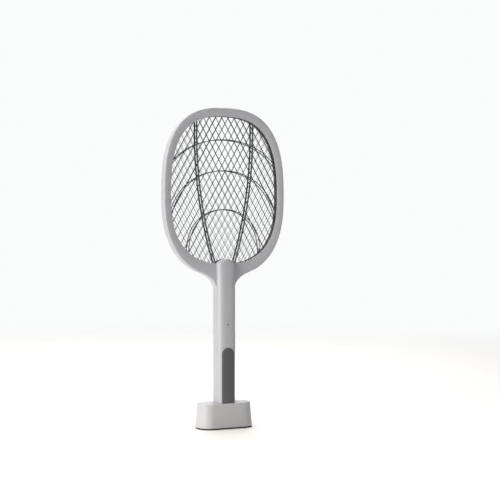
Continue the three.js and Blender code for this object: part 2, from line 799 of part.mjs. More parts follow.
const boardTop = boardFoot + board.length;
const netFoot = headCentre - opening.down - net.rim;
const leadSideX = insideHalf - lead.radius - lead.sideGap;
const leadEndX = leadSideX - lead.spread;
const gridLead = () =>
  wire([
    [leadEndX, boardFront - 2, boardTop - 3],
    [leadEndX + 2, -5, boardTop + 6],
    [leadSideX, -4, (boardTop + netFoot) / 2],
    [leadSideX, -1.4, netFoot - 9],
    [leadSideX, 0, netFoot - 1.5],
  ]);
const guardLead = () =>
  wire([
    [-leadEndX, boardFront - 2, boardTop - 3],
    [-leadEndX - 2, -5, boardTop + 6],
    [-leadSideX, -6, (boardTop + netFoot) / 2],
    [-leadSideX, -5.6, netFoot - 9],
    [-leadSideX, -netRear + net.thickness / 2, netFoot - 1.5],
  ]);
const cellLead = () =>
  wire([
    [leadX + lead.spread / 2, leadY, handleFoot + cap.thickness + 3],
    [leadX, leadY, handleFoot + cell.lift + 1],
    [leadX, leadY, handleFoot + cell.lift + cell.length / 2],
    [leadX, leadY, handleFoot + cell.lift + cell.length],
    [leadX + lead.spread, board.rear + 2, boardFoot + 2],
  ]);

// ---------------------------------------------------------------- dock

const leanAt = (z) => (dock.draft * (z - dockFoot)) / (dock.height - dockFoot);

const dockRing = (z, shrink) => {
  const lean = leanAt(z);
  const corner = dock.corner - shrink;
  const [x, y] = [dock.width / 2 - lean - shrink, dock.depth / 2 - lean - shrink];
  return roundedRectangle(x, y, corner).getPoints(6).map((p) => new THREE.Vector3(p.x, p.y, z));
};

function dockBlock(low, high, shrink) {
  return loft([dockRing(low, shrink), dockRing(high, shrink)]);
}

const socketView = (grow) => wholeSection(-SLIDING - grow, 0);
const plateTop = dockFoot + dock.plateThickness;
const chargeBoardFoot = plateTop + chargeBoard.lift;
const chargeBoardTop = chargeBoardFoot + chargeBoard.thickness;

function dockHousing() {
  const top = dock.height;
  const outer = loft([
    dockRing(dockFoot, 0),
    dockRing(top - dock.edge, 0),
    dockRing(top, dock.edge),
  ]);
  const hollow = dockBlock(dockFoot - 1, top - dock.wall, dock.wall);
  const sleeve = slab(socketView(dock.socketWall), socketFloorTop - dock.socketFloor, top - dock.wall / 2);
  const bosses = dockScrewPlaces().map(([x, y]) =>
    rodZ(dockScrew.boss, x, y, plateTop + STACK, top - dock.wall / 2),
  );
  const inside = dockBlock(dockFoot, top - dock.wall / 2, dock.wall / 2);
  const fittings = joined(sleeve, ...bosses).intersect(inside);
  const screwHoles = dockScrewPlaces().map(([x, y]) =>
    rodZ(dockScrew.shank + FIT, x, y, plateTop, plateTop + dockScrew.bite),
  );
  const floorBottom = socketFloorTop - dock.socketFloor;
  const pinHoles = [-1, 1].map((hand) =>
    rodZ(pin.radius + SLIDING, (hand * pin.spacing) / 2, 0, floorBottom - 1, socketFloorTop + 1),
  );
  const mouthZ = chargeBoardTop + STACK + inlet.height / 2;
  const mouth = plate(inletView(FIT * 2, mouthZ), dock.depth / 4, dock.depth);
  return cutBy(
    joined(outer.subtract(hollow), fittings),
    slab(socketView(0), socketFloorTop, top + 1),
    mouth,
    ...screwHoles,
    ...pinHoles,
  );
}

function dockPlate() {
  const outline = dockRing(dockFoot, dock.wall + FIT).map((p) => new THREE.Vector2(p.x, p.y));
  const body = slab(new THREE.Shape(outline), dockFoot, plateTop);
  const holes = dockScrewPlaces().flatMap(([x, y]) => [
    rodZ(dockScrew.shank + FIT, x, y, dockFoot - 1, plateTop + 1),
    rodZ(dockScrew.head + FIT, x, y, dockFoot - 1, dockFoot + dockScrew.headHeight + STACK),
  ]);
  return cutBy(body, ...holes);
}

function antiSlipPad() {
  const outline = dockRing(dockFoot, dock.padInset).map((p) => new THREE.Vector2(p.x, p.y));
  return slab(new THREE.Shape(outline), 0, dock.padThickness);
}

function ballastBlock(hand) {
  const inner = handle.halfWidth + SLIDING + dock.socketWall + FIT * 2;
  const [near, far] = [hand * inner, hand * (inner + ballast.width)];
  const [low, high] = [Math.min(near, far), Math.max(near, far)];
  const foot = plateTop + ballast.standOff;
  return block(low, high, -ballast.depth / 2, ballast.depth / 2, foot, foot + ballast.height);
}

const chargingBoard = () => {
  const rear = dock.depth / 2 - leanAt(chargeBoardTop) - dock.wall - FIT;
  return block(
    -chargeBoard.width / 2,
    chargeBoard.width / 2,
    rear - chargeBoard.depth,
    rear,
    chargeBoardFoot,
    chargeBoardTop,
  );
};

// The charging inlet's stadium-shaped outline, seen from behind.
function inletView(grow, z) {
  const [halfX, halfZ] = [inlet.width / 2 + grow, inlet.height / 2 + grow];
  const shape = new THREE.Shape();
  shape.absarc(halfX - halfZ, z, halfZ, -Math.PI / 2, Math.PI / 2);
  shape.absarc(halfZ - halfX, z, halfZ, Math.PI / 2, 1.5 * Math.PI);
  return shape;
}

function chargingInlet() {
  const rear = dock.depth / 2 - FIT * 2;
  const z = chargeBoardTop + STACK + inlet.height / 2;
  const front = rear - inlet.depth;
  const body = plate(inletView(0, z), front, rear, 6);
  const pocket = plate(inletView(-inlet.wall, z), front + inlet.back, rear + 1, 6);
  const [halfX, halfZ] = [inlet.tongueWidth / 2, inlet.tongue / 2];
  const tongue = block(-halfX, halfX, front + 1, rear - 1, z - halfZ, z + halfZ);
  return joined(body.subtract(pocket), tongue);
}

const pinTop = handleFoot + contact.recess - pinTipGap;
const barrelTop = socketFloorTop - dock.socketFloor - FIT;

function chargePin(hand) {
  const x = (hand * pin.spacing) / 2;
  const foot = chargeBoardTop + STACK + pin.shoulder + pin.stroke + FIT;
  return joined(
    rodZ(pin.radius, x, 0, foot, pinTop - pin.radius / 2),
    solid(new THREE.CylinderGeometry(pin.radius / 2, pin.radius, pin.radius / 2, screwSides)
      .rotateX(Math.PI / 2)
      .translate(x, 0, pinTop - pin.radius / 4)),
  );
}

function pinBarrel(hand) {
  const x = (hand * pin.spacing) / 2;
  const foot = chargeBoardTop + STACK;
  const body = rodZ(pin.radius + pin.barrelWall + FIT, x, 0, foot, barrelTop);
  return body.subtract(rodZ(pin.radius + FIT, x, 0, foot + pin.shoulder, barrelTop + 1));
}

// ---------------------------------------------------------------- finishes

const finish = (color, roughness, metalness = 0) =>
  new THREE.MeshStandardMaterial({ color, roughness, metalness });
const finishes = {
  shell: finish(0xc9c9cd, 0.45),
  grip: finish(0x58585a, 0.6),
  spacer: finish(0x141416, 0.55),
  net: finish(0x4a4c50, 0.45, 0.8),
  grid: finish(0xb8bcc2, 0.35, 0.9),
  lens: finish(0x3a3c40, 0.2),
  rubber: finish(0x1c1c1e, 0.85),
  steel: finish(0x9a9da2, 0.3, 1),
  brass: finish(0xc9a552, 0.3, 1),
  board: finish(0x1f5a3a, 0.5),
  component: finish(0x222224, 0.5),
  wrap: finish(0x2c6fb0, 0.4),
  lead: finish(0xa02020, 0.5),
};

const model = new THREE.Group();

function add(name, geometry, material, place) {
  const mesh = new THREE.Mesh(geometry, finishes[material]);
  mesh.name = name;
  if (place) place(mesh);
  model.add(mesh);
}

const addSolid = (name, body, material) => add(name, geometryOf(body), material);

// ---------------------------------------------------------------- the racket

addSolid("front_shell", frontShell(), "shell");
addSolid("rear_shell", rearShell(), "shell");
addSolid("front_guard_net", guardNet(-1), "net");
addSolid("rear_guard_net", guardNet(1), "net");
addSolid("high_voltage_grid", voltageGrid(), "grid");
addSolid("front_spacer_ring", spacerRing(-1), "spacer");
addSolid("rear_spacer_ring", spacerRing(1), "spacer");
addSolid("grip_panel", gripPanel(0), "grip");
addSolid("indicator_lens", indicatorLens(), "lens");
addSolid("indicator_lamp", indicatorLamp(), "lens");
addSolid("zap_button", zapButton(), "grip");
addSolid("mode_slider", modeSlider(), "grip");
addSolid("end_cap", endCap(), "shell");
addSolid("contact_pad_left", contactPad(-1), "brass");
addSolid("contact_pad_right", contactPad(1), "brass");
addSolid("battery_cell", batteryCell(), "wrap");
addSolid("cell_tab_lower", cellTab(-1), "steel");
addSolid("cell_tab_upper", cellTab(1), "steel");
addSolid("main_board", mainBoard(), "board");
addSolid(
  "step_up_transformer",
  onBoard(-1, transformer.width, transformer.height, transformer.depth, boardFoot + transformer.lift),
  "component",
);
addSolid(
  "storage_capacitor",
  onBoard(-1, capacitor.width, capacitor.height, capacitor.depth, boardFoot + capacitor.lift),
  "component",
);
addSolid("button_switch", tact(), "component");
addSolid(
  "slide_switch",
  onBoard(1, slideSwitch.width, slideSwitch.height, slideSwitch.depth, sliderZ),
  "steel",
);
addSolid("grid_lead", gridLead(), "lead");
addSolid("guard_lead", guardLead(), "component");
addSolid("cell_lead", cellLead(), "lead");

function addShellScrews(prefix, size, places, rearFace) {
  const seat = rearFace - size.sunk;
  places.forEach((place, i) => {
    const length = seat - size.headHeight + size.bite - FIT;
    add(`${prefix}_${i + 1}`, screwGeometry(size, length), "steel", (mesh) => {
      // The lathe turns about Y: its head end faces the rear.
      mesh.rotation.x = Math.PI;
      mesh.position.set(place.x, seat, place.y);
    });
  });
}

addShellScrews("handle_screw", shellScrew, shellScrewPlaces, handle.rearDepth);
addShellScrews("frame_screw", frameScrew, frameScrewPlaces, frame.halfThickness - frame.slope / 2);

// ---------------------------------------------------------------- the dock

addSolid("dock_housing", dockHousing(), "shell");
addSolid("dock_plate", dockPlate(), "shell");
addSolid("anti_slip_pad", antiSlipPad(), "rubber");
addSolid("ballast_left", ballastBlock(-1), "steel");
addSolid("ballast_right", ballastBlock(1), "steel");
addSolid("charging_board", chargingBoard(), "board");
addSolid("charging_inlet", chargingInlet(), "steel");
addSolid("pin_barrel_left", pinBarrel(-1), "steel");
addSolid("pin_barrel_right", pinBarrel(1), "steel");
addSolid("charge_pin_left", chargePin(-1), "brass");
addSolid("charge_pin_right", chargePin(1), "brass");

dockScrewPlaces().forEach(([x, y], i) => {
  add(`dock_screw_${i + 1}`, screwGeometry(dockScrew, dockScrew.bite - 1), "steel", (mesh) => {
    mesh.rotation.x = Math.PI / 2;
    mesh.position.set(x, y, dockFoot + STACK / 2);
  });
});

export default model;
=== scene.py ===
# %% [markdown]
# # An electric fly swatter in its charging dock
#
# The racket's head is a thin double frame that holds three metal nets apart. Its handle is a squared tube
# with a soft grip inlay, and it stands in a small weighted dock. This notebook builds what is seen of it
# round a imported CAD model, which already knows every size and every joint.

# %% Load the frame
import json
import math

import bmesh
import bpy
from mathutils import Matrix, Vector


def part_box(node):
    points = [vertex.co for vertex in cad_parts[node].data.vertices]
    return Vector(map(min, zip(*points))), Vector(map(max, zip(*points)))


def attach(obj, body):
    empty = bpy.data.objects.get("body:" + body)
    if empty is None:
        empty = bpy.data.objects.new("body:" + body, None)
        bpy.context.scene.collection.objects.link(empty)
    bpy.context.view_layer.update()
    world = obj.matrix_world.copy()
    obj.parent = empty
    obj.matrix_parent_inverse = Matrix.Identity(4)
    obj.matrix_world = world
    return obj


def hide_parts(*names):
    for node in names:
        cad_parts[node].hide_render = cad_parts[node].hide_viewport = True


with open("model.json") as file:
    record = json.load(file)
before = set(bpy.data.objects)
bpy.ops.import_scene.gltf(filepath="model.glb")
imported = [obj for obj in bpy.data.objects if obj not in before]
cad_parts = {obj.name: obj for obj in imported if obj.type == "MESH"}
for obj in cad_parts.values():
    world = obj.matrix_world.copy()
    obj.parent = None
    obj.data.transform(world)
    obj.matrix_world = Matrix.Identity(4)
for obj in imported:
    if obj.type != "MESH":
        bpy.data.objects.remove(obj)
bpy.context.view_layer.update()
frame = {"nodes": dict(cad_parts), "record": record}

# %% [markdown]
# ## Camera
#
# A product is often seen from a little to its left, level with its middle, through a long lens, so that
# its upright lines stay upright. The camera is level and looks past the racket, and a small lens shift
# puts the racket left of the middle. A tilt would do the same, but it would make the handle lean.

# %% Camera
MM = 0.001
VIEW_TURN = math.radians(25)
CAMERA_DISTANCE = 1850 * MM
CAMERA_HEIGHT = 286 * MM
FOCAL_LENGTH = 83.2
SENSOR_WIDTH = 36
LENS_SHIFT = 0.0526


def in_scene(name, data):
    """Put an object with this data in the scene."""
    made = bpy.data.objects.new(name, data)
    bpy.context.scene.collection.objects.link(made)
    return made


camera = in_scene("camera", bpy.data.cameras.new("camera"))
camera.location = (
    -CAMERA_DISTANCE * math.sin(VIEW_TURN),
    -CAMERA_DISTANCE * math.cos(VIEW_TURN),
    CAMERA_HEIGHT,
)
camera.rotation_euler = (math.pi / 2, 0, -VIEW_TURN)
camera.data.lens = FOCAL_LENGTH
camera.data.sensor_width = SENSOR_WIDTH
camera.data.shift_x = LENS_SHIFT
bpy.context.scene.camera = camera
print("camera at", tuple(round(value, 3) for value in camera.location))

# %% [markdown]
# ## Light and floor
#
# The racket stands beside a bright window: soft light comes from its left, a little in front of it, and
# from the ceiling behind it, and the room fills in the front. Large area lights and a weak sky do that.
# The sky that the camera sees is nearly white, like a sheet of paper behind the product.

# %% Light
def area_light(name, place, target, width, height, power, colour=(1, 1, 1)):
    """Hang a rectangular lamp at `place` that faces `target`."""
    light = bpy.data.lights.new(name, "AREA")
    light.shape = "RECTANGLE"
    light.size = width
    light.size_y = height
    light.energy = power
    light.color = colour
    lamp = in_scene(name, light)
    lamp.location = place
    lamp.rotation_euler = (Vector(target) - Vector(place)).to_track_quat("-Z", "Y").to_euler()


MIDDLE = (0, 0, 0.28)
area_light("window", (-1.9, -0.45, 0.8), MIDDLE, 1.2, 1.8, 52, (1, 0.995, 0.98))
area_light("room_fill", (-0.5, -2.2, 1.3), MIDDLE, 1.6, 1.2, 8, (0.97, 0.98, 1))
area_light("ceiling", (0, 0.5, 2.2), (0, 0, 0.1), 1.6, 1.0, 40)
area_light("curtain_glow", (0.6, 1.9, 1.2), MIDDLE, 2.2, 1.6, 18)

SKY_SEEN = 0.97
SKY_LIGHT = 0.3
sky = bpy.data.worlds.new("pale_room")
bpy.context.scene.world = sky
sky.use_nodes = True
sky_nodes = sky.node_tree.nodes
seen = sky_nodes.new("ShaderNodeLightPath").outputs["Is Camera Ray"]
level = sky_nodes.new("ShaderNodeMapRange")
level.inputs["To Min"].default_value = SKY_LIGHT
level.inputs["To Max"].default_value = SKY_SEEN
sky.node_tree.links.new(seen, level.inputs["Value"])
sky.node_tree.links.new(level.outputs["Result"], sky_nodes["Background"].inputs["Strength"])
sky_nodes["Background"].inputs["Color"].default_value = (0.99, 1, 1, 1)
bpy.context.scene.view_settings.view_transform = "Standard"

# %% [markdown]
# ## Shader arithmetic
#
# A finish is built from numbers that vary over a surface. Writing them as nodes by hand is long, so one
# small class wraps an output socket: an expression such as `1 - mask * 0.2` adds its own Math nodes.
# Every other node comes from one method, which takes the node's type, its settings and its inputs.

# %% Socket class
class Sock:
    """An output socket that can be used in arithmetic."""

    def __init__(self, tree, socket):
        self.tree = tree
        self.socket = socket

    def _math(self, operation, *values):
        return Finish(tree=self.tree).node("ShaderNodeMath", {"operation": operation}, *values)

    def __add__(self, other):
        return self._math("ADD", self, other)

    def __radd__(self, other):
        return self._math("ADD", other, self)

    def __sub__(self, other):
        return self._math("SUBTRACT", self, other)

    def __rsub__(self, other):
        return self._math("SUBTRACT", other, self)

    def __mul__(self, other):
        return self._math("MULTIPLY", self, other)

    def __rmul__(self, other):
        return self._math("MULTIPLY", other, self)

    def __pow__(self, other):
        return self._math("POWER", self, other)

    def above(self, level, width):
        """0 below `level` and 1 above it, with a soft step `width` wide."""
        settings = {"interpolation_type": "SMOOTHSTEP"}
        low, high = level - width / 2, level + width / 2
        return Finish(tree=self.tree).node("ShaderNodeMapRange", settings, self, low, high, 0.0, 1.0)


class Finish:
    """A material under construction."""

    def __init__(self, name=None, tree=None):
        if name:
            self.material = bpy.data.materials.new(name)
            self.material.use_nodes = True
            tree = self.material.node_tree
            self.shader = tree.nodes["Principled BSDF"]
        self.tree = tree

    def _feed(self, socket, value):
        if isinstance(value, Sock):
            self.tree.links.new(value.socket, socket)
        else:
            socket.default_value = value

    def node(self, kind, settings=None, *inputs, output=0, **named):
        """Add a node, set it up, feed its sockets by place or by name, and return one of its outputs."""
        made = self.tree.nodes.new(kind)
        for key, value in (settings or {}).items():
            setattr(made, key, value)
        for socket, value in zip(made.inputs, inputs):
            self._feed(socket, value)
        for key, value in named.items():
            self._feed(made.inputs[key.replace("_", " ")], value)
        return Sock(self.tree, made.outputs[output])

    def place(self):
        """Position in metres in the object's own frame, which is the same for every piece."""
        return self.node("ShaderNodeTexCoord", output=3)

    def noise(self, size, detail=3.0, roughness=0.55, stretch=(1, 1, 1)):
        """Cloudy noise whose features are about `size` millimetres."""
        scaled = self.node("ShaderNodeVectorMath", {"operation": "MULTIPLY"}, self.place(), stretch)
        values = {"Scale": 1 / (size * MM), "Detail": detail, "Roughness": roughness}
        return self.node("ShaderNodeTexNoise", None, Vector=scaled, **values)

    def mix(self, amount, first, second):
        """Blend two colours."""
        made = self.tree.nodes.new("ShaderNodeMix")
        made.data_type = "RGBA"
        self._feed(made.inputs[0], amount)
        self._feed(made.inputs[6], first)
        self._feed(made.inputs[7], second)
        return Sock(self.tree, made.outputs[2])

    def edges(self, radius):
        """1 on outer edges sharper than about `radius` millimetres, 0 elsewhere."""
        rounded = self.node("ShaderNodeBevel", {"samples": 4}, Radius=radius * MM)
        flat = self.node("ShaderNodeNewGeometry", output=1)
        alike = self.node("ShaderNodeVectorMath", {"operation": "DOT_PRODUCT"}, rounded, flat, output=1)
        return (1 - alike).above(0.12, 0.2)

    def bump(self, height, depth):
        """Raise the surface by `height` times `depth` millimetres."""
        return self.node("ShaderNodeBump", None, Strength=1.0, Distance=depth * MM, Height=height)

    def set(self, **values):
        for key, value in values.items():
            self._feed(self.shader.inputs[key.replace("_", " ")], value)
        return self


def rgb(hex_code):
    """A linear colour from the usual six-digit code."""
    channels = [int(hex_code[i:i + 2], 16) / 255 for i in (0, 2, 4)]
    linear = [c / 12.92 if c <= 0.04045 else ((c + 0.055) / 1.055) ** 2.4 for c in channels]
    return (*linear, 1)


# %% [markdown]
# ## Moulded plastic
#
# The shells and the dock are satin ABS. The mould is spark-eroded, which leaves a grain of a fraction of
# a millimetre, and flow in the mould gives very faint clouds. Handling polishes the grain a little, so
# the roughness varies too. The same recipe makes each plastic here, in its own colour and grain.

# %% Plastics
def moulded(name, base, cloud, roughness, grain, grain_depth, wear=None):
    """A moulded plastic with mould grain, flow clouds and rubbed patches. Sizes are in millimetres."""
    finish = Finish(name)
    clouds = finish.noise(38, 2.0).above(0.5, 0.5)
    speckle = finish.noise(1.4, 2.0).above(0.55, 0.35)
    colour = finish.mix(clouds * 0.5 + speckle * 0.18, rgb(base), rgb(cloud))
    rubbed = finish.noise(17, 4.0, 0.6).above(0.56, 0.25)
    if wear:
        colour = finish.mix(finish.edges(0.5) * 0.55, colour, rgb(wear))
    fine = finish.noise(grain, 2.0, 0.7)
    return finish.set(
        Base_Color=colour,
        Roughness=roughness - 0.07 * rubbed + 0.05 * speckle,
        Normal=finish.bump(fine, grain_depth),
        IOR=1.49,
    ).material


shell_plastic = moulded("satin_shell", "A6A6AB", "A0A0A5", 0.42, 0.35, 0.018, "B4B4B8")
dock_plastic = moulded("satin_dock", "AFADAF", "A9A7A8", 0.45, 0.4, 0.022, "BDBBBC")
grip_plastic = moulded("grip_inlay", "4F4F51", "48484A", 0.55, 0.55, 0.05, "6A6A68")
black_plastic = moulded("black_spacer", "131315", "1B1B1D", 0.5, 0.4, 0.02)
component_plastic = moulded("component_black", "1A1A1C", "232325", 0.4, 0.5, 0.02)
rubber = moulded("foot_rubber", "19191A", "222223", 0.85, 0.6, 0.06)
print("plastics:", [m.name for m in bpy.data.materials if m.use_nodes][:8])

# %% [markdown]
# ## Metals, board and small finishes
#
# The nets are stamped and stretched silver sheet. The outer nets and their ribs get a dark colour that is
# painted shade, for sheet that stands in shadow against the bright window; the charged net inside keeps
# its bright colour. Brushed steel needs fine lines along one direction, so its noise is stretched. The
# circuit boards get a lacquer with faint tracks, and the smoked lens is nearly black and polished.

# %% Metals and the rest
def metal(name, base, tarnish, roughness, metallic=1.0, brushed=None, patch=6):
    """A metal with tarnish clouds. `brushed` stretches its grain along an axis."""
    finish = Finish(name)
    dull = finish.noise(patch, 4.0, 0.6).above(0.52, 0.3)
    grain = finish.noise(0.5, 2.0, 0.6, brushed or (1, 1, 1))
    return finish.set(
        Base_Color=finish.mix(dull * 0.6, rgb(base), rgb(tarnish)),
        Metallic=metallic,
        Roughness=roughness + 0.14 * dull + 0.1 * grain,
        Normal=finish.bump(grain, 0.02),
    ).material


# The outer guard nets are silver sheet: their dark colour is painted shade, for nets in shadow against the
# bright window.
outer_net_painted_shade = metal("guard_net_painted_shade", "3E4044", "303236", 0.42, 0.75)
# The ribs are pressed in the same silver sheet as the nets: their dark colour is painted shade too.
rib_painted_shade = metal("rib_painted_shade", "56585D", "484A4E", 0.45, 0.6)
grid_metal = metal("grid_metal", "8B8F95", "7A7E84", 0.38, 0.85)
steel = metal("zinc_steel", "A4A6AA", "8C8E92", 0.28, 1.0, (1, 1, 0.15))
gold_plate = metal("gold_plate", "D2AE62", "B89450", 0.22)
tin_plate = metal("tin_plate", "B9BBBF", "A2A4A8", 0.3)


def circuit_lacquer():
    """Green lacquer over copper tracks that run up and down."""
    finish = Finish("circuit_lacquer")
    tracks = finish.noise(2.2, 1.0, 0.4, (1, 1, 0.12)).above(0.56, 0.05)
    cloud = finish.noise(14, 2.0)
    ground = finish.mix(cloud, rgb("17452F"), rgb("1C5439"))
    return finish.set(
        Base_Color=finish.mix(tracks * 0.7, ground, rgb("2C7A50")),
        Roughness=0.3 + 0.1 * cloud,
        Normal=finish.bump(tracks, 0.04),
        Coat_Weight=0.3 + 0.1 * tracks,
    ).material


def printed_sleeve():
    """The shrunk sleeve of the cell, with the faint rings that shrinking leaves."""
    finish = Finish("shrunk_sleeve")
    rings = finish.noise(3.5, 2.0, 0.5, (0.1, 0.1, 1)).above(0.5, 0.6)
    return finish.set(
        Base_Color=finish.mix(rings * 0.5, rgb("2C6FB0"), rgb("25619C")),
        Roughness=0.28 + 0.12 * rings,
        Normal=finish.bump(rings, 0.05),
    ).material


def smoked_lens():
    finish = Finish("smoked_lens")
    haze = finish.noise(0.8, 2.0)
    return finish.set(
        Base_Color=finish.mix(haze, rgb("505155"), rgb("45464A")),
        Roughness=0.12 + 0.1 * haze,
        Coat_Weight=0.5 + 0.2 * haze,
    ).material


def wire_sleeve():
    finish = Finish("wire_sleeve")
    scuff = finish.noise(2.5, 3.0).above(0.55, 0.3)
    return finish.set(
        Base_Color=finish.mix(scuff * 0.4, rgb("9B2424"), rgb("7E1C1C")),
        Roughness=0.42 + 0.15 * scuff,
    ).material


circuit_green = circuit_lacquer()
cell_sleeve = printed_sleeve()
lens_dark = smoked_lens()
wire_red = wire_sleeve()
print("finishes:", len(bpy.data.materials))

# %% [markdown]
# ## Mesh helpers
#
# Nearly every piece is a loft: rings of points joined by quads. A loft that closes on itself makes a
# frame, and a loft with capped ends makes a tube. Pockets and holes are then cut with Boolean operations,
# and edges under a chosen angle are shaded smooth.

# %% Lofts and cuts
def mesh_of(name, points, faces):
    """A mesh from points in millimetres and lists of point numbers, with its faces turned outwards."""
    mesh = bpy.data.meshes.new(name)
    mesh.from_pydata([Vector(point) * MM for point in points], [], faces)
    shape = bmesh.new()
    shape.from_mesh(mesh)
    bmesh.ops.recalc_face_normals(shape, faces=shape.faces)
    shape.to_mesh(mesh)
    shape.free()
    return mesh


def loft_mesh(name, rings, loop=False):
    """Join rings that hold the same number of points: a closed loop of rings, or a tube with two caps."""
    count = len(rings[0])
    points = [point for ring in rings for point in ring]
    faces = []
    for r in range(len(rings) if loop else len(rings) - 1):
        here, beyond = r * count, (r + 1) % len(rings) * count
        for i in range(count):
            j = (i + 1) % count
            faces.append((here + i, here + j, beyond + j, beyond + i))
    if not loop:
        faces.append(tuple(range(count)))
        faces.append(tuple(range(len(points) - count, len(points))))
    return mesh_of(name, points, faces)


def cut(mesh, *steps):
    """Take each mesh away in turn, or join it if it comes as ("UNION", mesh), and return the result."""
    base = in_scene("work", mesh)
    helpers = []
    for step in steps:
        operation, tool = step if isinstance(step, tuple) else ("DIFFERENCE", step)
        helpers.append(in_scene("tool", tool))
        boolean = base.modifiers.new(operation, "BOOLEAN")
        boolean.operation = operation
        boolean.solver = "MANIFOLD"
        boolean.object = helpers[-1]
    bpy.context.view_layer.update()
    done = bpy.data.meshes.new_from_object(base.evaluated_get(bpy.context.evaluated_depsgraph_get()))
    for helper in [base, *helpers]:
        bpy.data.objects.remove(helper)
    return done


CREASE = 32
WELD = 0.004 * MM


def tidy_up(mesh, crease):
    """Weld stray points and shade faces smooth up to `crease` degrees."""
    shape = bmesh.new()
    shape.from_mesh(mesh)
    bmesh.ops.remove_doubles(shape, verts=shape.verts, dist=WELD)
    bmesh.ops.dissolve_degenerate(shape, edges=shape.edges, dist=WELD)
    shape.to_mesh(mesh)
    shape.free()
    mesh.shade_smooth()
    mesh.set_sharp_from_angle(angle=math.radians(crease))


def piece(name, mesh, material, body, stands_for=(), at=None, crease=CREASE):
    """Show a mesh as a named piece that rides on a body and takes the place of CAD nodes."""
    tidy_up(mesh, crease)
    mesh.materials.clear()
    mesh.materials.append(material)
    made = in_scene(name, mesh)
    if at:
        made.location = Vector(at) * MM
    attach(made, body)
    if stands_for:
        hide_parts(*stands_for)
    print(f"{name}: {len(mesh.polygons)} faces, {tuple(round(s / MM, 1) for s in made.dimensions)} mm")


def millimetres(node):
    """The two corners of a CAD node, in millimetres."""
    low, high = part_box(node)
    return low / MM, high / MM


# %% [markdown]
# ## The head's outlines
#
# The head is not an ellipse: it is squarer, fuller above the middle than below. A superellipse describes
# that with one exponent for each half. The opening and the rim each have their own, and below them the
# rim runs in a long curve, the shoulder, into the handle.

# %% Outlines
net_high = millimetres("high_voltage_grid")[1]
NET_RIM = 4.2
OPENING = {"side": net_high.x - NET_RIM, "up": 126.3, "down": 108.3, "round_up": 2.7, "round_down": 2.55}
HEAD_CENTRE = net_high.z - NET_RIM - OPENING["up"]
BAND = {"side": 12.4, "up": 14.1, "down": 19.7, "round_up": 2.68, "round_down": 2.45}
SHOULDER_DROP = 34
SHOULDER_REACH = 44
SHOULDER_START = 0.75
SHOULDER_PULL = 22.4
HANDLE_HALF = 15.4
SEAM = 0.1


def oval(angle, side, up, down, round_up, round_down):
    """The point where a ray from the centre meets a superellipse whose two halves differ."""
    c, s = math.cos(angle), math.sin(angle)
    reach, round_ = (down, round_down) if s < 0 else (up, round_up)
    radius = ((abs(c) / side) ** round_ + (abs(s) / reach) ** round_) ** (-1 / round_)
    return Vector((radius * c, radius * s))


def opening_point(angle, grow=0.0):
    sizes = {key: OPENING[key] + grow for key in ("side", "up", "down")}
    return oval(angle, round_up=OPENING["round_up"], round_down=OPENING["round_down"], **sizes)


def rim_point(angle):
    sizes = {key: OPENING[key] + BAND[key] for key in ("side", "up", "down")}
    return oval(angle, round_up=BAND["round_up"], round_down=BAND["round_down"], **sizes)


def bezier(points, t):
    """A point on a cubic curve."""
    weights = ((1 - t) ** 3, 3 * t * (1 - t) ** 2, 3 * t * t * (1 - t), t ** 3)
    return sum((point * weight for point, weight in zip(points, weights)), Vector((0, 0)))


def opening_outline(grow=0.0, count=200):
    return [opening_point(math.tau * i / count, grow) for i in range(count)]


def head_outline(count=110, bend=22):
    """The rim from the handle's right flank round the head to its left flank, about the head's centre."""
    depth = OPENING["down"] + BAND["down"]
    start = -math.asin(math.sqrt(1 - (SHOULDER_REACH / depth) ** 2))
    right = [rim_point(start + (math.pi / 2 - start) * i / count) for i in range(count + 1)]
    along = (right[1] - right[0]).normalized()
    flank = HANDLE_HALF - 2 * SEAM
    foot = depth + SHOULDER_DROP
    curve = [
        Vector((flank, -foot)),
        Vector((flank, -foot + SHOULDER_DROP * SHOULDER_START)),
        right[0] - along * SHOULDER_PULL,
        right[0],
    ]
    half = [bezier(curve, i / bend) for i in range(bend)] + right
    return half + [Vector((-p.x, p.y)) for p in reversed(half[:-1])]


def inset(points, distance):
    """Move each point of a closed outline inwards."""
    moved = []
    for i, point in enumerate(points):
        along = (points[(i + 1) % len(points)] - points[i - 1]).normalized()
        moved.append(point + Vector((-along.y, along.x)) * distance)
    return moved


rim = head_outline()
print("head:", round(2 * max(p.x for p in rim), 1), "mm wide, centre at", round(HEAD_CENTRE, 1), "mm")

# %% [markdown]
# ## The handle's section
#
# The handle is a squared tube: another superellipse, deeper in front than behind, whose front bows out.
# It is fullest at the grip, slimmer above it, and its round top reaches over the head's lower edge. Each
# half of the casing carries one half of the section, and a tiny chamfer on the seam makes the parting
# line show. In every function here, side -1 is the front and side 1 the rear.

# %% Handle section
HANDLE_FOOT = millimetres("end_cap")[0].z
TUBE_LAP = 7.4
TUBE_TOP = HEAD_CENTRE - OPENING["down"] + TUBE_LAP
CROWN = 6.6
REAR_DEPTH = millimetres("rear_shell")[1].y
GRIP_DEPTH = -millimetres("front_shell")[0].y
SQUARENESS = {-1: 5, 1: 4.4}
BULGE = {-1: 1.5, 1: 0}
SHAFT_DEPTH = 16.8
NECK_DEPTH = 14.8
GRIP_END, SHAFT_START, SHAFT_END = 126, 144, 200
WALL = 2.2
FRONT_DEPTHS = [
    (0, GRIP_DEPTH),
    (GRIP_END, GRIP_DEPTH),
    (SHAFT_START, SHAFT_DEPTH),
    (SHAFT_END, SHAFT_DEPTH),
    (TUBE_TOP - HANDLE_FOOT, NECK_DEPTH),
]


def front_depth(height):
    """How far the front stands forward, `height` above the handle's foot, eased between its stations."""
    for (low, depth_low), (high, depth_high) in zip(FRONT_DEPTHS, FRONT_DEPTHS[1:]):
        if height <= high:
            share = max(0.0, (height - low) / (high - low))
            return depth_low + (depth_high - depth_low) * share * share * (3 - 2 * share)
    return FRONT_DEPTHS[-1][1]


def depth_at(side, height):
    return front_depth(height) if side < 0 else REAR_DEPTH


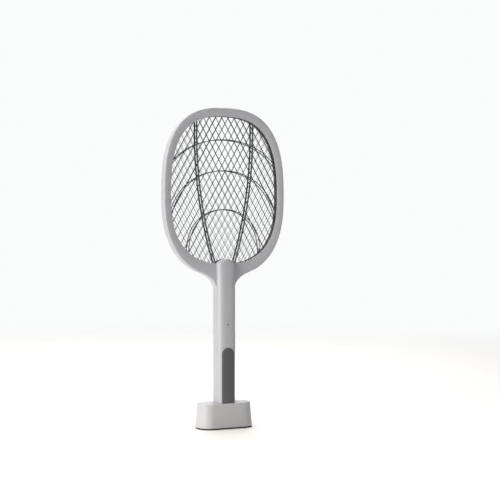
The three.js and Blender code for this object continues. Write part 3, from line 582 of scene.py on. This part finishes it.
def skin_y(side, x, height, lift=0.0):
    """Depth of the handle's skin `x` from its middle."""
    share = min(abs(x) / (HANDLE_HALF + lift), 1.0)
    depth = depth_at(side, height) + lift - BULGE[side] * share ** 2
    return side * depth * (1 - share ** SQUARENESS[side]) ** (1 / SQUARENESS[side])


def section_point(side, width, depth, angle):
    """A point of the section's front or rear half, `angle` round from the right."""
    c, s = math.cos(angle), math.sin(angle)
    along = math.copysign(abs(c) ** (2 / SQUARENESS[side]), c)
    bowed = depth - BULGE[side] * along ** 2
    return along * width, side * max(s, 0.0) ** (2 / SQUARENESS[side]) * bowed


CROWN_RADIUS = (HANDLE_HALF ** 2 + CROWN ** 2) / (2 * CROWN)
CROWN_CENTRE = TUBE_TOP - CROWN_RADIUS
TOP_FILLET = 3.2
FOOT_FILLET = 0.7


def tube_ring(side, z, shrink, low, high, steps=40, seam=SEAM):
    """Half of the handle's section at one height, from its right flank round to its left."""
    height = z - HANDLE_FOOT
    width = HANDLE_HALF - shrink
    if z > TUBE_TOP - CROWN:
        reach = (CROWN_RADIUS - shrink) ** 2 - (z - CROWN_CENTRE) ** 2
        width = min(width, math.sqrt(max(reach, 0.01)))
    depth = depth_at(side, height) - shrink
    over = max(0.0, z - (high - TOP_FILLET)) / TOP_FILLET
    depth -= TOP_FILLET * (1 - math.sqrt(max(1 - over * over, 0.0)))
    under = max(0.0, low + FOOT_FILLET - z) / FOOT_FILLET
    round_off = FOOT_FILLET * (1 - math.sqrt(max(1 - under * under, 0.0)))
    width, depth = width - round_off, depth - round_off
    ring = [Vector((width - 2 * SEAM, side * seam, z)), Vector((width, side * (seam + 2 * SEAM), z))]
    for i in range(1, steps):
        x, y = section_point(side, width, depth, math.pi * i / steps)
        ring.append(Vector((x, side * max(side * y, seam + 2 * SEAM), z)))
    return ring + [Vector((-p.x, p.y, z)) for p in (ring[1], ring[0])]


FOOT_STEPS = (0, 0.15, 0.4, 0.7)
FOOT_ZONE = 1.2
CROWN_ZONE = 9
BOTH_ENDS = 11


def heights_between(low, high):
    """Levels for a tube, closer together at its two rounded ends."""
    lower = [low + step for step in FOOT_STEPS]
    middle = [low + FOOT_ZONE + (high - low - BOTH_ENDS) * i / 40 for i in range(41)]
    crown = [high - CROWN_ZONE * math.cos(math.pi / 2 * i / 18) for i in range(1, 18)]
    return lower + middle + crown + [high - 0.02]


def tube_half(side, shrink=0.0, low=HANDLE_FOOT, seam=SEAM):
    """One half of the handle's tube, shrunk all round for its core."""
    high = TUBE_TOP - shrink
    rings = [tube_ring(side, z, shrink, low, high, seam=seam) for z in heights_between(low, high)]
    return loft_mesh("tube_half", rings)


print("handle:", round(TUBE_TOP - HANDLE_FOOT, 1), "mm long,", round(REAR_DEPTH + GRIP_DEPTH, 1), "mm deep")

# %% [markdown]
# ## The head frame's profile
#
# Round the opening each casing half has a C-shaped section: an outer wall, a face that sinks towards the
# net, and a thin lip that holds the net's edge. One list gives the section as steps from the rim, and the
# loft sweeps it round. The outer edge has a true fillet, because it is what catches the light.

# %% Head frame
FACE = 7.0
FACE_SLOPE = 1.3
LIP = 0.8
LIP_EDGE = 0.4
EDGE = 2.2
FRAME_WALL = 2.0


def frame_half(side):
    """Half of the head's frame: its C-shaped section swept round the rim."""
    inner = [opening_point(math.atan2(p.y, p.x)) for p in rim]
    lip_face = FACE - FACE_SLOPE
    fillet = [math.pi / 2 * i / 5 for i in range(6)]
    levels = [(inset(rim, 2 * SEAM), SEAM), (rim, 3 * SEAM)]
    levels += [(inset(rim, EDGE * (1 - math.cos(a))), FACE - EDGE * (1 - math.sin(a))) for a in fillet]
    levels += [
        ([p * (1 + LIP_EDGE * (1 - math.sin(a)) / p.length) for p in inner],
         lip_face - LIP_EDGE * (1 - math.cos(a)))
        for a in fillet[::2] + fillet[-1:]
    ]
    levels += [
        (inner, lip_face - LIP),
        (inset(rim, FRAME_WALL), lip_face - LIP),
        (inset(rim, FRAME_WALL), SEAM),
    ]
    rings = [[Vector((p.x, side * depth, p.y + HEAD_CENTRE)) for p in line] for line, depth in levels]
    return loft_mesh("frame_half", rings, loop=True)


def prism(outline, y_low, y_high, lift=0.0):
    """A flat outline in x and z, given thickness along y."""
    rings = [[Vector((p[0], y, p[1] + lift)) for p in outline] for y in (y_low, y_high)]
    return loft_mesh("prism", rings)


def pill_outline(width, length, z, steps=14):
    """An upright slot with round ends."""
    radius = width / 2
    straight = length / 2 - radius
    arc = [math.pi * i / steps for i in range(steps + 1)]
    top = [(radius * math.cos(a), z + straight + radius * math.sin(a)) for a in arc]
    return top + [(-x, 2 * z - height) for x, height in top]


def turned_y(profile, x, z, count=24):
    """A turned piece about an axis along y. The profile lists radius and y, ends included."""
    rings = []
    for radius, y in profile:
        turn = [math.tau * i / count for i in range(count)]
        rings.append([Vector((x + radius * math.cos(a), y, z + radius * math.sin(a))) for a in turn])
    return loft_mesh("turned", rings)


# %% [markdown]
# ## Grip inlay
#
# A softer, darker plastic is let into the front of the grip, square below and round above. It follows the
# handle's curve, so it is a grid whose points take their depth from the handle's own section. The same
# builder, a little larger, cuts its pocket. Its edge is rolled, which gives the fine light line round it.

# %% Grip inlay
panel_low, panel_high = millimetres("grip_panel")
PANEL_HALF = panel_high.x
PANEL_PROUD = 0.25
PANEL_THICKNESS = 1.4
PANEL_ROLL = 0.7
FIT = 0.3


def inlay(grow, proud, thickness, roll):
    """A curved plate on the handle's front. `roll` is the radius of its front edge."""
    half = PANEL_HALF + grow
    low, spring = panel_low.z - grow, panel_high.z - PANEL_HALF
    rows = [low + (roll * step if roll else 0) for step in (0, 0.12, 0.4, 1)]
    rows += [low + 1.5 + (spring - low - 1.5) * i / 30 for i in range(31)]
    rows += [spring + half * math.sin(math.pi / 2 * i / 24) for i in range(1, 24)]
    rows.append(spring + half * 0.9995)
    columns = [math.sin(math.pi / 2 * i / 14) for i in range(-14, 15)]
    front, back = [], []
    for z in dict.fromkeys(rows):
        width = half if z <= spring else math.sqrt(max(half ** 2 - (z - spring) ** 2, 0.0001))
        for column in columns:
            x = column * width
            rim_gap = min(half - math.hypot(x, max(z - spring, 0)), z - low)
            drop = 0.0
            if roll and rim_gap < roll:
                drop = roll - math.sqrt(max(roll ** 2 - (roll - max(rim_gap, 0)) ** 2, 0))
            height = z - HANDLE_FOOT
            front.append(Vector((x, skin_y(-1, x, height) - proud + drop, z)))
            back.append(Vector((x, skin_y(-1, x, height) + thickness, z)))
    across, up = len(columns), len(front) // len(columns)
    faces = []
    for r in range(up - 1):
        for c in range(across - 1):
            a = r * across + c
            quad = (a, a + 1, a + across + 1, a + across)
            faces.append(quad)
            faces.append(tuple(len(front) + i for i in reversed(quad)))
    border = list(range(across)) + [r * across + across - 1 for r in range(1, up)]
    border += [(up - 1) * across + c for c in reversed(range(across - 1))]
    border += [r * across for r in reversed(range(1, up - 1))]
    for i, a in enumerate(border):
        b = border[(i + 1) % len(border)]
        faces.append((a, b, len(front) + b, len(front) + a))
    return mesh_of("inlay", front + back, faces)


piece("grip_inlay", inlay(0, PANEL_PROUD, PANEL_THICKNESS, PANEL_ROLL), grip_plastic, "racket",
      ["grip_panel"], crease=50)

# %% [markdown]
# ## Casing halves
#
# Each half is one moulding: a tube half and a frame half joined, hollowed, with the room for the nets and
# the pockets for its controls cut out. Boolean operations do that in the order a toolmaker would think of
# it: first the outside, then the core, then each opening.

# %% Casings
BUTTON = {"z": HANDLE_FOOT + 128, "width": 10, "length": 19}
SLIDER = {"z": HANDLE_FOOT + 163, "width": 5, "length": 8, "travel": 2.6, "recess": 0.9}
RUNNING_GAP = 0.35
NET_ROOM = 4.9
LENS_HOLE = 1.4
LENS_BEVEL = 0.3
HANDLE_SCREW_HOLE = 2.3
FRAME_SCREW_HOLE = 1.9
FRAME_SKIN = 6.4
BEVEL = 0.4
lens_low, lens_high = millimetres("indicator_lens")
LENS_Z = (lens_low.z + lens_high.z) / 2
handle_screws = [f"handle_screw_{i}" for i in range(1, 5)]
frame_screws = [f"frame_screw_{i}" for i in range(1, 7)]


def screw_holes(names, radius, skin):
    """Stepped holes for screw heads, with a small chamfer at the mouth."""
    holes = []
    for name in names:
        low, high = millimetres(name)
        x, z = (low.x + high.x) / 2, (low.z + high.z) / 2
        profile = [(radius, high.y - 1.9), (radius, skin - 0.3)]
        profile += [(radius + BEVEL, skin + 0.1), (radius + BEVEL, skin + 2)]
        holes.append(turned_y(profile, x, z))
    return holes


def sunk_outline(width, length, z, y_skin, chamfer=0.35):
    """A slot through the skin whose mouth opens out in a chamfer."""
    rings = []
    levels = [(y_skin - 5, 0), (y_skin - chamfer, 0), (y_skin + 0.05, chamfer), (y_skin + 3, chamfer)]
    for y, grow in levels:
        outline = pill_outline(width + 2 * grow, length + 2 * grow, z)
        rings.append([Vector((x, y, height)) for x, height in outline])
    return loft_mesh("slot", rings)


def casing(side, extra):
    """One half of the racket's casing, with `extra` openings cut last."""
    core = tube_half(side, WALL, HANDLE_FOOT - 1, seam=-1)
    rooms = prism([tuple(p) for p in opening_outline(NET_ROOM)], -NET_ROOM, NET_ROOM, HEAD_CENTRE)
    return cut(tube_half(side), ("UNION", frame_half(side)), core, rooms, *extra)


front_openings = [
    inlay(FIT, 3, PANEL_THICKNESS + FIT, 0),
    turned_y([(LENS_HOLE + LENS_BEVEL, -20), (LENS_HOLE + LENS_BEVEL, 0.05 - SHAFT_DEPTH),
              (LENS_HOLE, LENS_BEVEL - SHAFT_DEPTH), (LENS_HOLE, -10)], 0, LENS_Z),
]
slot_length = SLIDER["length"] + 2 * (SLIDER["travel"] + RUNNING_GAP)
dish_floor = REAR_DEPTH - SLIDER["recess"]
dish = [
    [Vector((x, y, z)) for x, z in pill_outline(SLIDER["width"] + w, slot_length + w, SLIDER["z"])]
    for y, w in ((dish_floor, 4.6), (REAR_DEPTH - 0.5, 5.4), (REAR_DEPTH + 2, 6.4))
]
button_hole = (BUTTON["width"] + 2 * RUNNING_GAP, BUTTON["length"] + 2 * RUNNING_GAP)
rear_openings = [
    sunk_outline(*button_hole, BUTTON["z"], REAR_DEPTH),
    loft_mesh("dish", dish),
    sunk_outline(SLIDER["width"] + 2 * RUNNING_GAP, slot_length, SLIDER["z"], dish_floor, 0.2),
    *screw_holes(handle_screws, HANDLE_SCREW_HOLE, REAR_DEPTH),
    *screw_holes(frame_screws, FRAME_SCREW_HOLE, FRAME_SKIN),
]
piece("front_casing", casing(-1, front_openings), shell_plastic, "racket", ["front_shell"])
piece("rear_casing", casing(1, rear_openings), shell_plastic, "racket", ["rear_shell"])

# %% [markdown]
# ## Nets
#
# Each net is expanded metal: a sheet is slit and pulled until the slits open into diamonds. Its strands
# run in two directions and stay joined where they meet. The mesh is built from those joints: a small
# rhombus at each crossing, and a bar to each of its neighbours, cut off where the frame hides it. The
# strands are given the slight twist that stretching leaves, so that they glint.

# %% Expanded metal
CELL_WIDTH, CELL_HEIGHT = 11.0, 19.3


def chord_end(inside, outside, grow):
    """Where a strand that starts inside the opening crosses its outline."""
    low, high = 0.0, 1.0
    for _ in range(18):
        middle = (low + high) / 2
        point = inside.lerp(outside, middle)
        limit = opening_point(math.atan2(point.y, point.x), grow).length
        low, high = (middle, high) if point.length < limit else (low, middle)
    return inside.lerp(outside, low)


def expanded_net(y, width, thickness, cell=(CELL_WIDTH, CELL_HEIGHT), shift=(0, 0), grow=3.4, twist=0.12):
    """A net of diamonds, cut to the opening's outline grown by `grow`."""
    step = Vector((cell[0] / 2, cell[1] / 2))
    slope = math.atan2(step.y, step.x)
    corner = (Vector((width / 2 / math.sin(slope), 0)), Vector((0, width / 2 / math.cos(slope))))
    reach = [int(OPENING["side"] * 2 / cell[0]) + 3, int(OPENING["up"] * 2 / cell[1]) + 3]
    crossings, points, faces = {}, [], []
    place = {}
    for i in range(-reach[0], reach[0] + 1):
        for j in range(-reach[1], reach[1] + 1):
            if (i + j) % 2:
                continue
            at = Vector((i * step.x + shift[0], j * step.y + shift[1]))
            place[i, j] = at
            if at.length < opening_point(math.atan2(at.y, at.x), grow - width).length:
                first = len(points)
                points += [
                    (at + corner[0], twist),
                    (at + corner[1], -twist),
                    (at - corner[0], twist),
                    (at - corner[1], -twist),
                ]
                crossings[i, j] = first
                faces.append([first, first + 1, first + 2, first + 3])
    ways = {(1, 1): (0, 1, 3, 2), (-1, 1): (1, 2, 0, 3), (-1, -1): (2, 3, 1, 0), (1, -1): (3, 0, 2, 1)}
    for (i, j), first in crossings.items():
        for (di, dj), (near_a, near_b, far_a, far_b) in ways.items():
            other = (i + di, j + dj)
            if other in crossings:
                if dj > 0:
                    beyond = crossings[other]
                    faces.append([first + near_a, beyond + far_a, beyond + far_b, first + near_b])
            elif other in place:
                end = chord_end(place[i, j], place[other], grow)
                across = Vector((dj * step.y, -di * step.x)).normalized() * width / 2
                if (points[first + near_a][0] - place[i, j]).dot(across) < 0:
                    across = -across
                points += [(end + across, 0), (end - across, 0)]
                faces.append([first + near_a, len(points) - 2, len(points) - 1, first + near_b])
    shape = bmesh.new()
    placed = [Vector((p.x, y + lean - thickness / 2, p.y + HEAD_CENTRE)) for p, lean in points]
    front = [shape.verts.new(point * MM) for point in placed]
    back = [shape.verts.new(v.co + Vector((0, thickness * MM, 0))) for v in front]
    sides = {}
    for face in faces:
        shape.faces.new([front[i] for i in face])
        shape.faces.new([back[i] for i in reversed(face)])
        for a, b in zip(face, face[1:] + face[:1]):
            sides[(a, b)] = True
    for a, b in sides:
        if (b, a) not in sides:
            shape.faces.new([front[a], back[a], back[b], front[b]])
    bmesh.ops.recalc_face_normals(shape, faces=shape.faces)
    mesh = bpy.data.meshes.new("expanded_net")
    shape.to_mesh(mesh)
    shape.free()
    return mesh


guard_low, guard_high = millimetres("front_guard_net")
GUARD_Y = -(guard_low.y + guard_high.y) / 2
GUARD_STRAND = {"width": 0.62, "thickness": 0.45}
REAR_SHIFT = (4.2, 0)
GRID_STRAND = {"width": 0.45, "thickness": 0.3, "twist": 0.05}
GRID_CELL = (10.6, 18.6)
GRID_SHIFT = (2.1, 3)
for name, y, shift in (("front_guard", -GUARD_Y, (0, 0)), ("rear_guard", GUARD_Y, REAR_SHIFT)):
    net = expanded_net(y, shift=shift, **GUARD_STRAND)
    piece(f"{name}_mesh", net, outer_net_painted_shade, "racket", [f"{name}_net"], crease=20)
net = expanded_net(0, cell=GRID_CELL, shift=GRID_SHIFT, **GRID_STRAND)
piece("charged_mesh", net, grid_metal, "racket", ["high_voltage_grid"], crease=20)

# %% [markdown]
# ## Stiffening ribs
#
# Two long ribs run down each guard net and three arched ones cross it, so that a thumb can't push the net
# onto the charged grid. They are pressed strips with a rounded back. Each is a curve swept with a
# half-round section. The curve stops under the frame, so no end shows.

# %% Ribs
LONG_RIB_WIDTH = 2.9
CROSS_RIB_WIDTH = 1.5
RIB_HALF_HEIGHT = 0.55
RIB_TUCK = 3.2
LONG_RIB = [(48.5, OPENING["up"] + NET_RIM), (52.5, 50), (41, -35), (15.5, -OPENING["down"] - NET_RIM)]
CROSS_RIBS = [(89.5, 47, 0.55), (40, -36, 0.8), (-22, -92, 1.05)]
CROSS_RIB_TUCK = 1.5


def opening_half_at(height):
    """Half of the opening's width, `height` above the head's centre."""
    way = "down" if height < 0 else "up"
    reach, power = OPENING[way], OPENING[f"round_{way}"]
    return OPENING["side"] * (1 - (abs(height) / reach) ** power) ** (1 / power)


def rib_curves():
    """The ribs' centre lines with their widths."""
    curves = [([Vector((hand * x, z)) for x, z in LONG_RIB], LONG_RIB_WIDTH) for hand in (1, -1)]
    for crest, end, fullness in CROSS_RIBS:
        half = opening_half_at(end) + CROSS_RIB_TUCK
        top = end + (crest - end) * 4 / 3
        corners = ((-half, end), (-half * fullness, top), (half * fullness, top), (half, end))
        curves.append(([Vector(p) for p in corners], CROSS_RIB_WIDTH))
    return curves


def rib_sweep(curve, width, y, steps=56, sides=8):
    """A rib along `curve` on the net at depth `y`, left out where the frame hides it."""
    rings = []
    for i in range(steps + 1):
        t = i / steps
        point = bezier(curve, t)
        if point.length > opening_point(math.atan2(point.y, point.x), RIB_TUCK).length:
            continue
        ahead, behind = bezier(curve, min(t + 0.01, 1)), bezier(curve, max(t - 0.01, 0))
        along = (ahead - behind).normalized()
        side = Vector((-along.y, along.x))
        ring = []
        for k in range(sides):
            a = math.tau * (k + 0.5) / sides
            spot = point + side * (width / 2 * math.cos(a))
            ring.append(Vector((spot.x, y + RIB_HALF_HEIGHT * math.sin(a), spot.y + HEAD_CENTRE)))
        rings.append(ring)
    return loft_mesh("rib", rings)


def joined(meshes):
    """One mesh from several."""
    shape = bmesh.new()
    for mesh in meshes:
        shape.from_mesh(mesh)
    whole = bpy.data.meshes.new("joined")
    shape.to_mesh(whole)
    shape.free()
    return whole


for name, y in (("front_guard_ribs", -GUARD_Y), ("rear_guard_ribs", GUARD_Y)):
    ribs = joined([rib_sweep(curve, width, y) for curve, width in rib_curves()])
    piece(name, ribs, rib_painted_shade, "racket", crease=60)

# %% [markdown]
# ## Spacer rings
#
# Black rings keep the nets apart and insulate the charged one. From the side their inner edge is the dark
# line just inside the frame. They are plain moulded rings, swept round the opening like the frame.

# %% Spacer rings
SPACER_OUT = 4.6
SPACER_EDGE = 0.2
for name, set_back in (("front_spacer", 0.3), ("rear_spacer", 3)):
    node = f"{name}_ring"
    low, high = millimetres(node)
    levels = [(SPACER_OUT - SPACER_EDGE, low.y), (SPACER_OUT, low.y + SPACER_EDGE)]
    levels += [(SPACER_OUT, high.y - SPACER_EDGE), (SPACER_OUT - SPACER_EDGE, high.y)]
    levels += [(set_back + gap, y) for gap, y in
               ((0.3, high.y), (0, high.y - 0.3), (0, low.y + 0.3), (0.3, low.y))]
    rings = [[Vector((p.x, y, p.y + HEAD_CENTRE)) for p in opening_outline(grow)] for grow, y in levels]
    piece(name, loft_mesh(name, rings, loop=True), black_plastic, "racket", [node])

# %% [markdown]
# ## Button, switch knob and charge light
#
# The zap button sits under the forefinger, on the rear. Its top is crowned and slightly dished, and a
# flange inside keeps it in. The mode switch's knob has three ridges for the thumbnail. The charge light
# on the front is a small smoked lens, turned as a shallow dome.

# %% Controls
def crowned_key(width, length, z, levels):
    """A pill-shaped key from levels of depth and inset. Its last level closes it."""
    rings = []
    for y, gap in levels:
        outline = pill_outline(width - 2 * gap, length - 2 * gap, z)
        rings.append([Vector((x, y, height)) for x, height in outline])
    return loft_mesh("key", rings)


button_top = millimetres("zap_button")[1].y
FLANGE = {"gap": 0.6, "thickness": 1.4, "reach": 1.3}
flange_top = REAR_DEPTH - WALL - FLANGE["gap"]
button_levels = [(flange_top - FLANGE["thickness"], -FLANGE["reach"])]
button_levels += [(flange_top, -FLANGE["reach"]), (flange_top + 0.01, 0)]
button_levels += [(button_top - 1.0, 0)]
button_levels += [(button_top - 1 + math.sin(a), 1 - math.cos(a)) for a in (0.4, 0.8, 1.2, math.pi / 2)]
button_levels += [(button_top - 0.12, 1.9), (button_top - 0.4, 3), (button_top - 0.55, 4.2)]
zap_key = crowned_key(BUTTON["width"], BUTTON["length"], BUTTON["z"], button_levels)
piece("zap_key", zap_key, grip_plastic, "zap_button", ["zap_button"], crease=40)

knob_top = millimetres("mode_slider")[1].y
knob_levels = [(REAR_DEPTH - 3, 0), (knob_top - 1.1, 0), (knob_top - 0.75, 0.12)]
knob_levels += [(knob_top - 0.55, 0.4), (knob_top - 0.5, 1.2)]
RIDGE = {"pitch": 1.9, "half": 1.75, "rise": 0.75, "spread": 0.55}
ridges = []
for step in (-RIDGE["pitch"], 0, RIDGE["pitch"]):
    ring_pair = []
    for x in (-RIDGE["half"], RIDGE["half"]):
        ring_pair.append([
            Vector((
                x,
                knob_top - RIDGE["rise"] + RIDGE["rise"] * math.sin(a),
                SLIDER["z"] + step + RIDGE["spread"] * math.cos(a),
            ))
            for a in (math.pi * i / 6 for i in range(7))
        ])
    ridges.append(loft_mesh("ridge", ring_pair))
knob = crowned_key(SLIDER["width"], SLIDER["length"], SLIDER["z"], knob_levels)
knob = cut(knob, *[("UNION", ridge) for ridge in ridges])
piece("mode_knob", knob, grip_plastic, "mode_slider", ["mode_slider"], crease=40)

lens_face = lens_low.y
dome = [(0.05, lens_face), (0.45, lens_face + 0.04), (0.8, lens_face + 0.16), (1.02, lens_face + 0.4)]
dome += [(1.1, lens_face + 0.8), (1.1, lens_face + 2.4), (1.9, lens_face + 2.4), (1.9, lens_high.y)]
piece("charge_light", turned_y(dome, 0, LENS_Z), lens_dark, "racket", ["indicator_lens"], crease=40)

# %% [markdown]
# ## Screws
#
# The halves are held from the rear by pan-head screws with a cross recess. One head is turned, and two
# crossed wedges are cut out of it. The same mesh would do for all, but each screw is turned to its own
# angle, as a screwdriver leaves it.

# %% Screws
def cross_recess(radius, depth, y):
    """Two crossed bars that narrow as they go in."""
    bars = []
    for turn in (0, math.pi / 2):
        rings = []
        mouth, tip = (y + 0.2, radius, 0.2 * radius + 0.12), (y - depth, radius * 0.55, 0.14 * radius)
        for at, long, wide in (mouth, tip):
            corners = ((long, wide), (-long, wide), (-long, -wide), (long, -wide))
            turned = [Matrix.Rotation(turn, 2) @ Vector(corner) for corner in corners]
            rings.append([Vector((c.x, at, c.y)) for c in turned])
        bars.append(loft_mesh("bar", rings))
    return bars


SCREW_TURN = math.radians(37)
for number, name in enumerate(handle_screws + frame_screws):
    low, high = millimetres(name)
    radius = (high.x - low.x) / 2
    thick = radius * 0.7
    profile = [(radius * 0.47, -(high.y - low.y)), (radius * 0.47, -thick), (radius * 0.98, -thick)]
    profile += [(radius, -thick * 0.62), (radius * 0.93, -thick * 0.28), (radius * 0.7, -thick * 0.06)]
    profile += [(radius * 0.35, 0)]
    head = cut(turned_y(profile, 0, 0, 20), *cross_recess(radius * 0.62, thick * 0.6, 0))
    head.transform(Matrix.Rotation(SCREW_TURN * number, 4, "Y"))
    centre = ((low.x + high.x) / 2, high.y, (low.z + high.z) / 2)
    piece(f"cross_{name}", head, steel, "racket", [name], at=centre, crease=30)

# %% [markdown]
# ## Dock
#
# The dock is a drafted box with generous corners, so that it slips out of its mould, and a soft edge
# round its flat top. Its socket follows the handle's section with a fraction of a millimetre to spare.
# The outside is a loft of rounded rectangles. The core, socket, pin holes and inlet mouth are then cut.

# %% Dock
dock_low, dock_high = millimetres("dock_housing")
DOCK_CORNER = 20
DOCK_DRAFT = 2.7
DOCK_WALL = 2.2
REST_GAP = 0.2
SLEEVE_WALL = 2
PIN_HOLE = 1.55
INLET_GAP = 0.6
INLET_BEVEL = 0.5
MOUTH_START = 12.5
SOCKET_FLOOR = HANDLE_FOOT - REST_GAP
pin_boxes = [millimetres(f"charge_pin_{hand}") for hand in ("left", "right")]


def rounded_rectangle(half_x, half_y, corner, steps=10):
    outline = []
    for quarter, (sx, sy) in enumerate(((1, 1), (-1, 1), (-1, -1), (1, -1))):
        for i in range(steps + 1):
            a = math.pi / 2 * (quarter + i / steps)
            outline.append((
                sx * (half_x - corner) + corner * math.cos(a),
                sy * (half_y - corner) + corner * math.sin(a),
            ))
    return outline


def dock_ring(z, shrink=0.0):
    """The dock's outline at one height. It leans in by the draft as it rises."""
    lean = DOCK_DRAFT * (z - dock_low.z) / (dock_high.z - dock_low.z)
    half_x, half_y = dock_high.x - lean - shrink, dock_high.y - lean - shrink
    return [Vector((x, y, z)) for x, y in rounded_rectangle(half_x, half_y, DOCK_CORNER - shrink)]


def whole_section(z, grow):
    """The handle's full section at its foot, grown all round."""
    ring = []
    for side, depth in ((1, REAR_DEPTH), (-1, GRIP_DEPTH)):
        half = [section_point(side, HANDLE_HALF + grow, depth + grow, math.pi * i / 48) for i in range(48)]
        ring += [Vector((side * x, y, z)) for x, y in half]
    return ring


def upright_rod(radius, x, low, high, count=20):
    turn = [math.tau * i / count for i in range(count)]
    circle = [(x + radius * math.cos(a), radius * math.sin(a)) for a in turn]
    return loft_mesh("rod", [[Vector((*point, z)) for point in circle] for z in (low, high)])


top, bottom = dock_high.z, dock_low.z
ROLL = 1.0
FOOT_EDGE = 0.5
MOUTH_FLARE = 0.6
outer = [dock_ring(bottom, FOOT_EDGE), dock_ring(bottom + 0.15, 0.2), dock_ring(bottom + FOOT_EDGE)]
outer += [dock_ring(bottom + FOOT_EDGE + (top - ROLL - bottom - FOOT_EDGE) * i / 6) for i in range(1, 7)]
outer += [
    dock_ring(top - ROLL * (1 - math.sin(a)), ROLL * (1 - math.cos(a)))
    for a in (math.pi / 2 * i / 6 for i in range(1, 7))
]
socket = [whole_section(SOCKET_FLOOR, RUNNING_GAP), whole_section(top - 0.7, RUNNING_GAP)]
socket += [whole_section(top - 0.25, RUNNING_GAP + 0.15)]
socket += [whole_section(z, RUNNING_GAP + MOUTH_FLARE) for z in (top + 0.02, top + 2)]
sleeve = [whole_section(z, RUNNING_GAP + SLEEVE_WALL) for z in (SOCKET_FLOOR - SLEEVE_WALL, top - 1)]
hollow = [dock_ring(bottom - 1, DOCK_WALL), dock_ring(top - DOCK_WALL, DOCK_WALL)]
inlet_low, inlet_high = millimetres("charging_inlet")
inlet_z = (inlet_low.z + inlet_high.z) / 2
mouth_half = (inlet_high.x + INLET_GAP, inlet_high.z - inlet_z + INLET_GAP)
mouth_levels = [(MOUTH_START, 0), (dock_high.y - 0.9, 0)]
mouth_levels += [(dock_high.y, INLET_BEVEL), (dock_high.y + 2, INLET_BEVEL)]
mouth = []
for y, grow in mouth_levels:
    outline = rounded_rectangle(mouth_half[0] + grow, mouth_half[1] + grow, mouth_half[1] + grow - 0.01)
    mouth.append([Vector((x, y, inlet_z + z)) for x, z in outline])
pin_holes = [
    upright_rod(PIN_HOLE, (low.x + high.x) / 2, SOCKET_FLOOR - 3, SOCKET_FLOOR + 1)
    for low, high in pin_boxes
]
dock_shell = cut(
    loft_mesh("dock", outer),
    loft_mesh("hollow", hollow),
    ("UNION", loft_mesh("sleeve", sleeve)),
    loft_mesh("socket", socket),
    loft_mesh("mouth", mouth),
    *pin_holes,
)
piece("dock_shell", dock_shell, dock_plastic, "dock", ["dock_housing"])

# %% [markdown]
# ## What the CAD model shows as it is
#
# The pieces inside are already the right shape. They only need their finishes, by the names that the
# record gives them, and smooth shading.

# %% Inner pieces
SLOT_FINISH = {
    "shell": shell_plastic, "grip": grip_plastic, "spacer": black_plastic, "net": outer_net_painted_shade,
    "grid": grid_metal, "lens": lens_dark, "rubber": rubber, "steel": steel, "brass": gold_plate,
    "board": circuit_green, "component": component_plastic, "wrap": cell_sleeve, "lead": wire_red,
}
OWN_FINISH = {"charging_inlet": tin_plate, "slide_switch": tin_plate, "dock_plate": component_plastic}
slots = {row["node"]: row["material_slot"] for row in frame["record"]["subparts"]}
for node, shown in frame["nodes"].items():
    if shown.hide_render:
        continue
    shown.data.materials.clear()
    shown.data.materials.append(OWN_FINISH.get(node, SLOT_FINISH[slots[node]]))
    shown.data.shade_smooth()
    shown.data.set_sharp_from_angle(angle=math.radians(CREASE))
print("carried over:", sum(not shown.hide_render for shown in frame["nodes"].values()), "CAD pieces")

# %% [markdown]
# ## Floor
#
# The floor only catches the shadow under the dock and bounces some light up. It is a wide disc whose edge
# fades into the sky.

# %% Floor
FADE_MIDDLE = 1.5
FADE_WIDTH = 2.2


def floor_finish():
    """A pale sheet that turns clear towards its edge. Lengths are in metres."""
    finish = Finish("pale_floor")
    spot = finish.node("ShaderNodeSeparateXYZ", None, finish.place())
    spot_y = Sock(spot.tree, spot.socket.node.outputs[1])
    distance = (spot * spot + spot_y * spot_y) ** 0.5
    cloud = finish.noise(60, 3.0)
    finish.set(
        Base_Color=finish.mix(cloud * 0.5, rgb("EDEAE4"), rgb("E7E4DE")),
        Roughness=0.55 + 0.1 * cloud,
        Alpha=1 - distance.above(FADE_MIDDLE, FADE_WIDTH),
    )
    return finish.material


FLOOR_RADIUS = 2.7
FLOOR_SIDES = 96
turn = [math.tau * i / FLOOR_SIDES for i in range(FLOOR_SIDES)]
edge = [Vector((FLOOR_RADIUS * math.cos(a), FLOOR_RADIUS * math.sin(a), 0)) for a in turn]
floor_mesh = bpy.data.meshes.new("floor")
floor_mesh.from_pydata(edge, [], [tuple(range(FLOOR_SIDES))])
floor_mesh.materials.append(floor_finish())
in_scene("floor", floor_mesh)
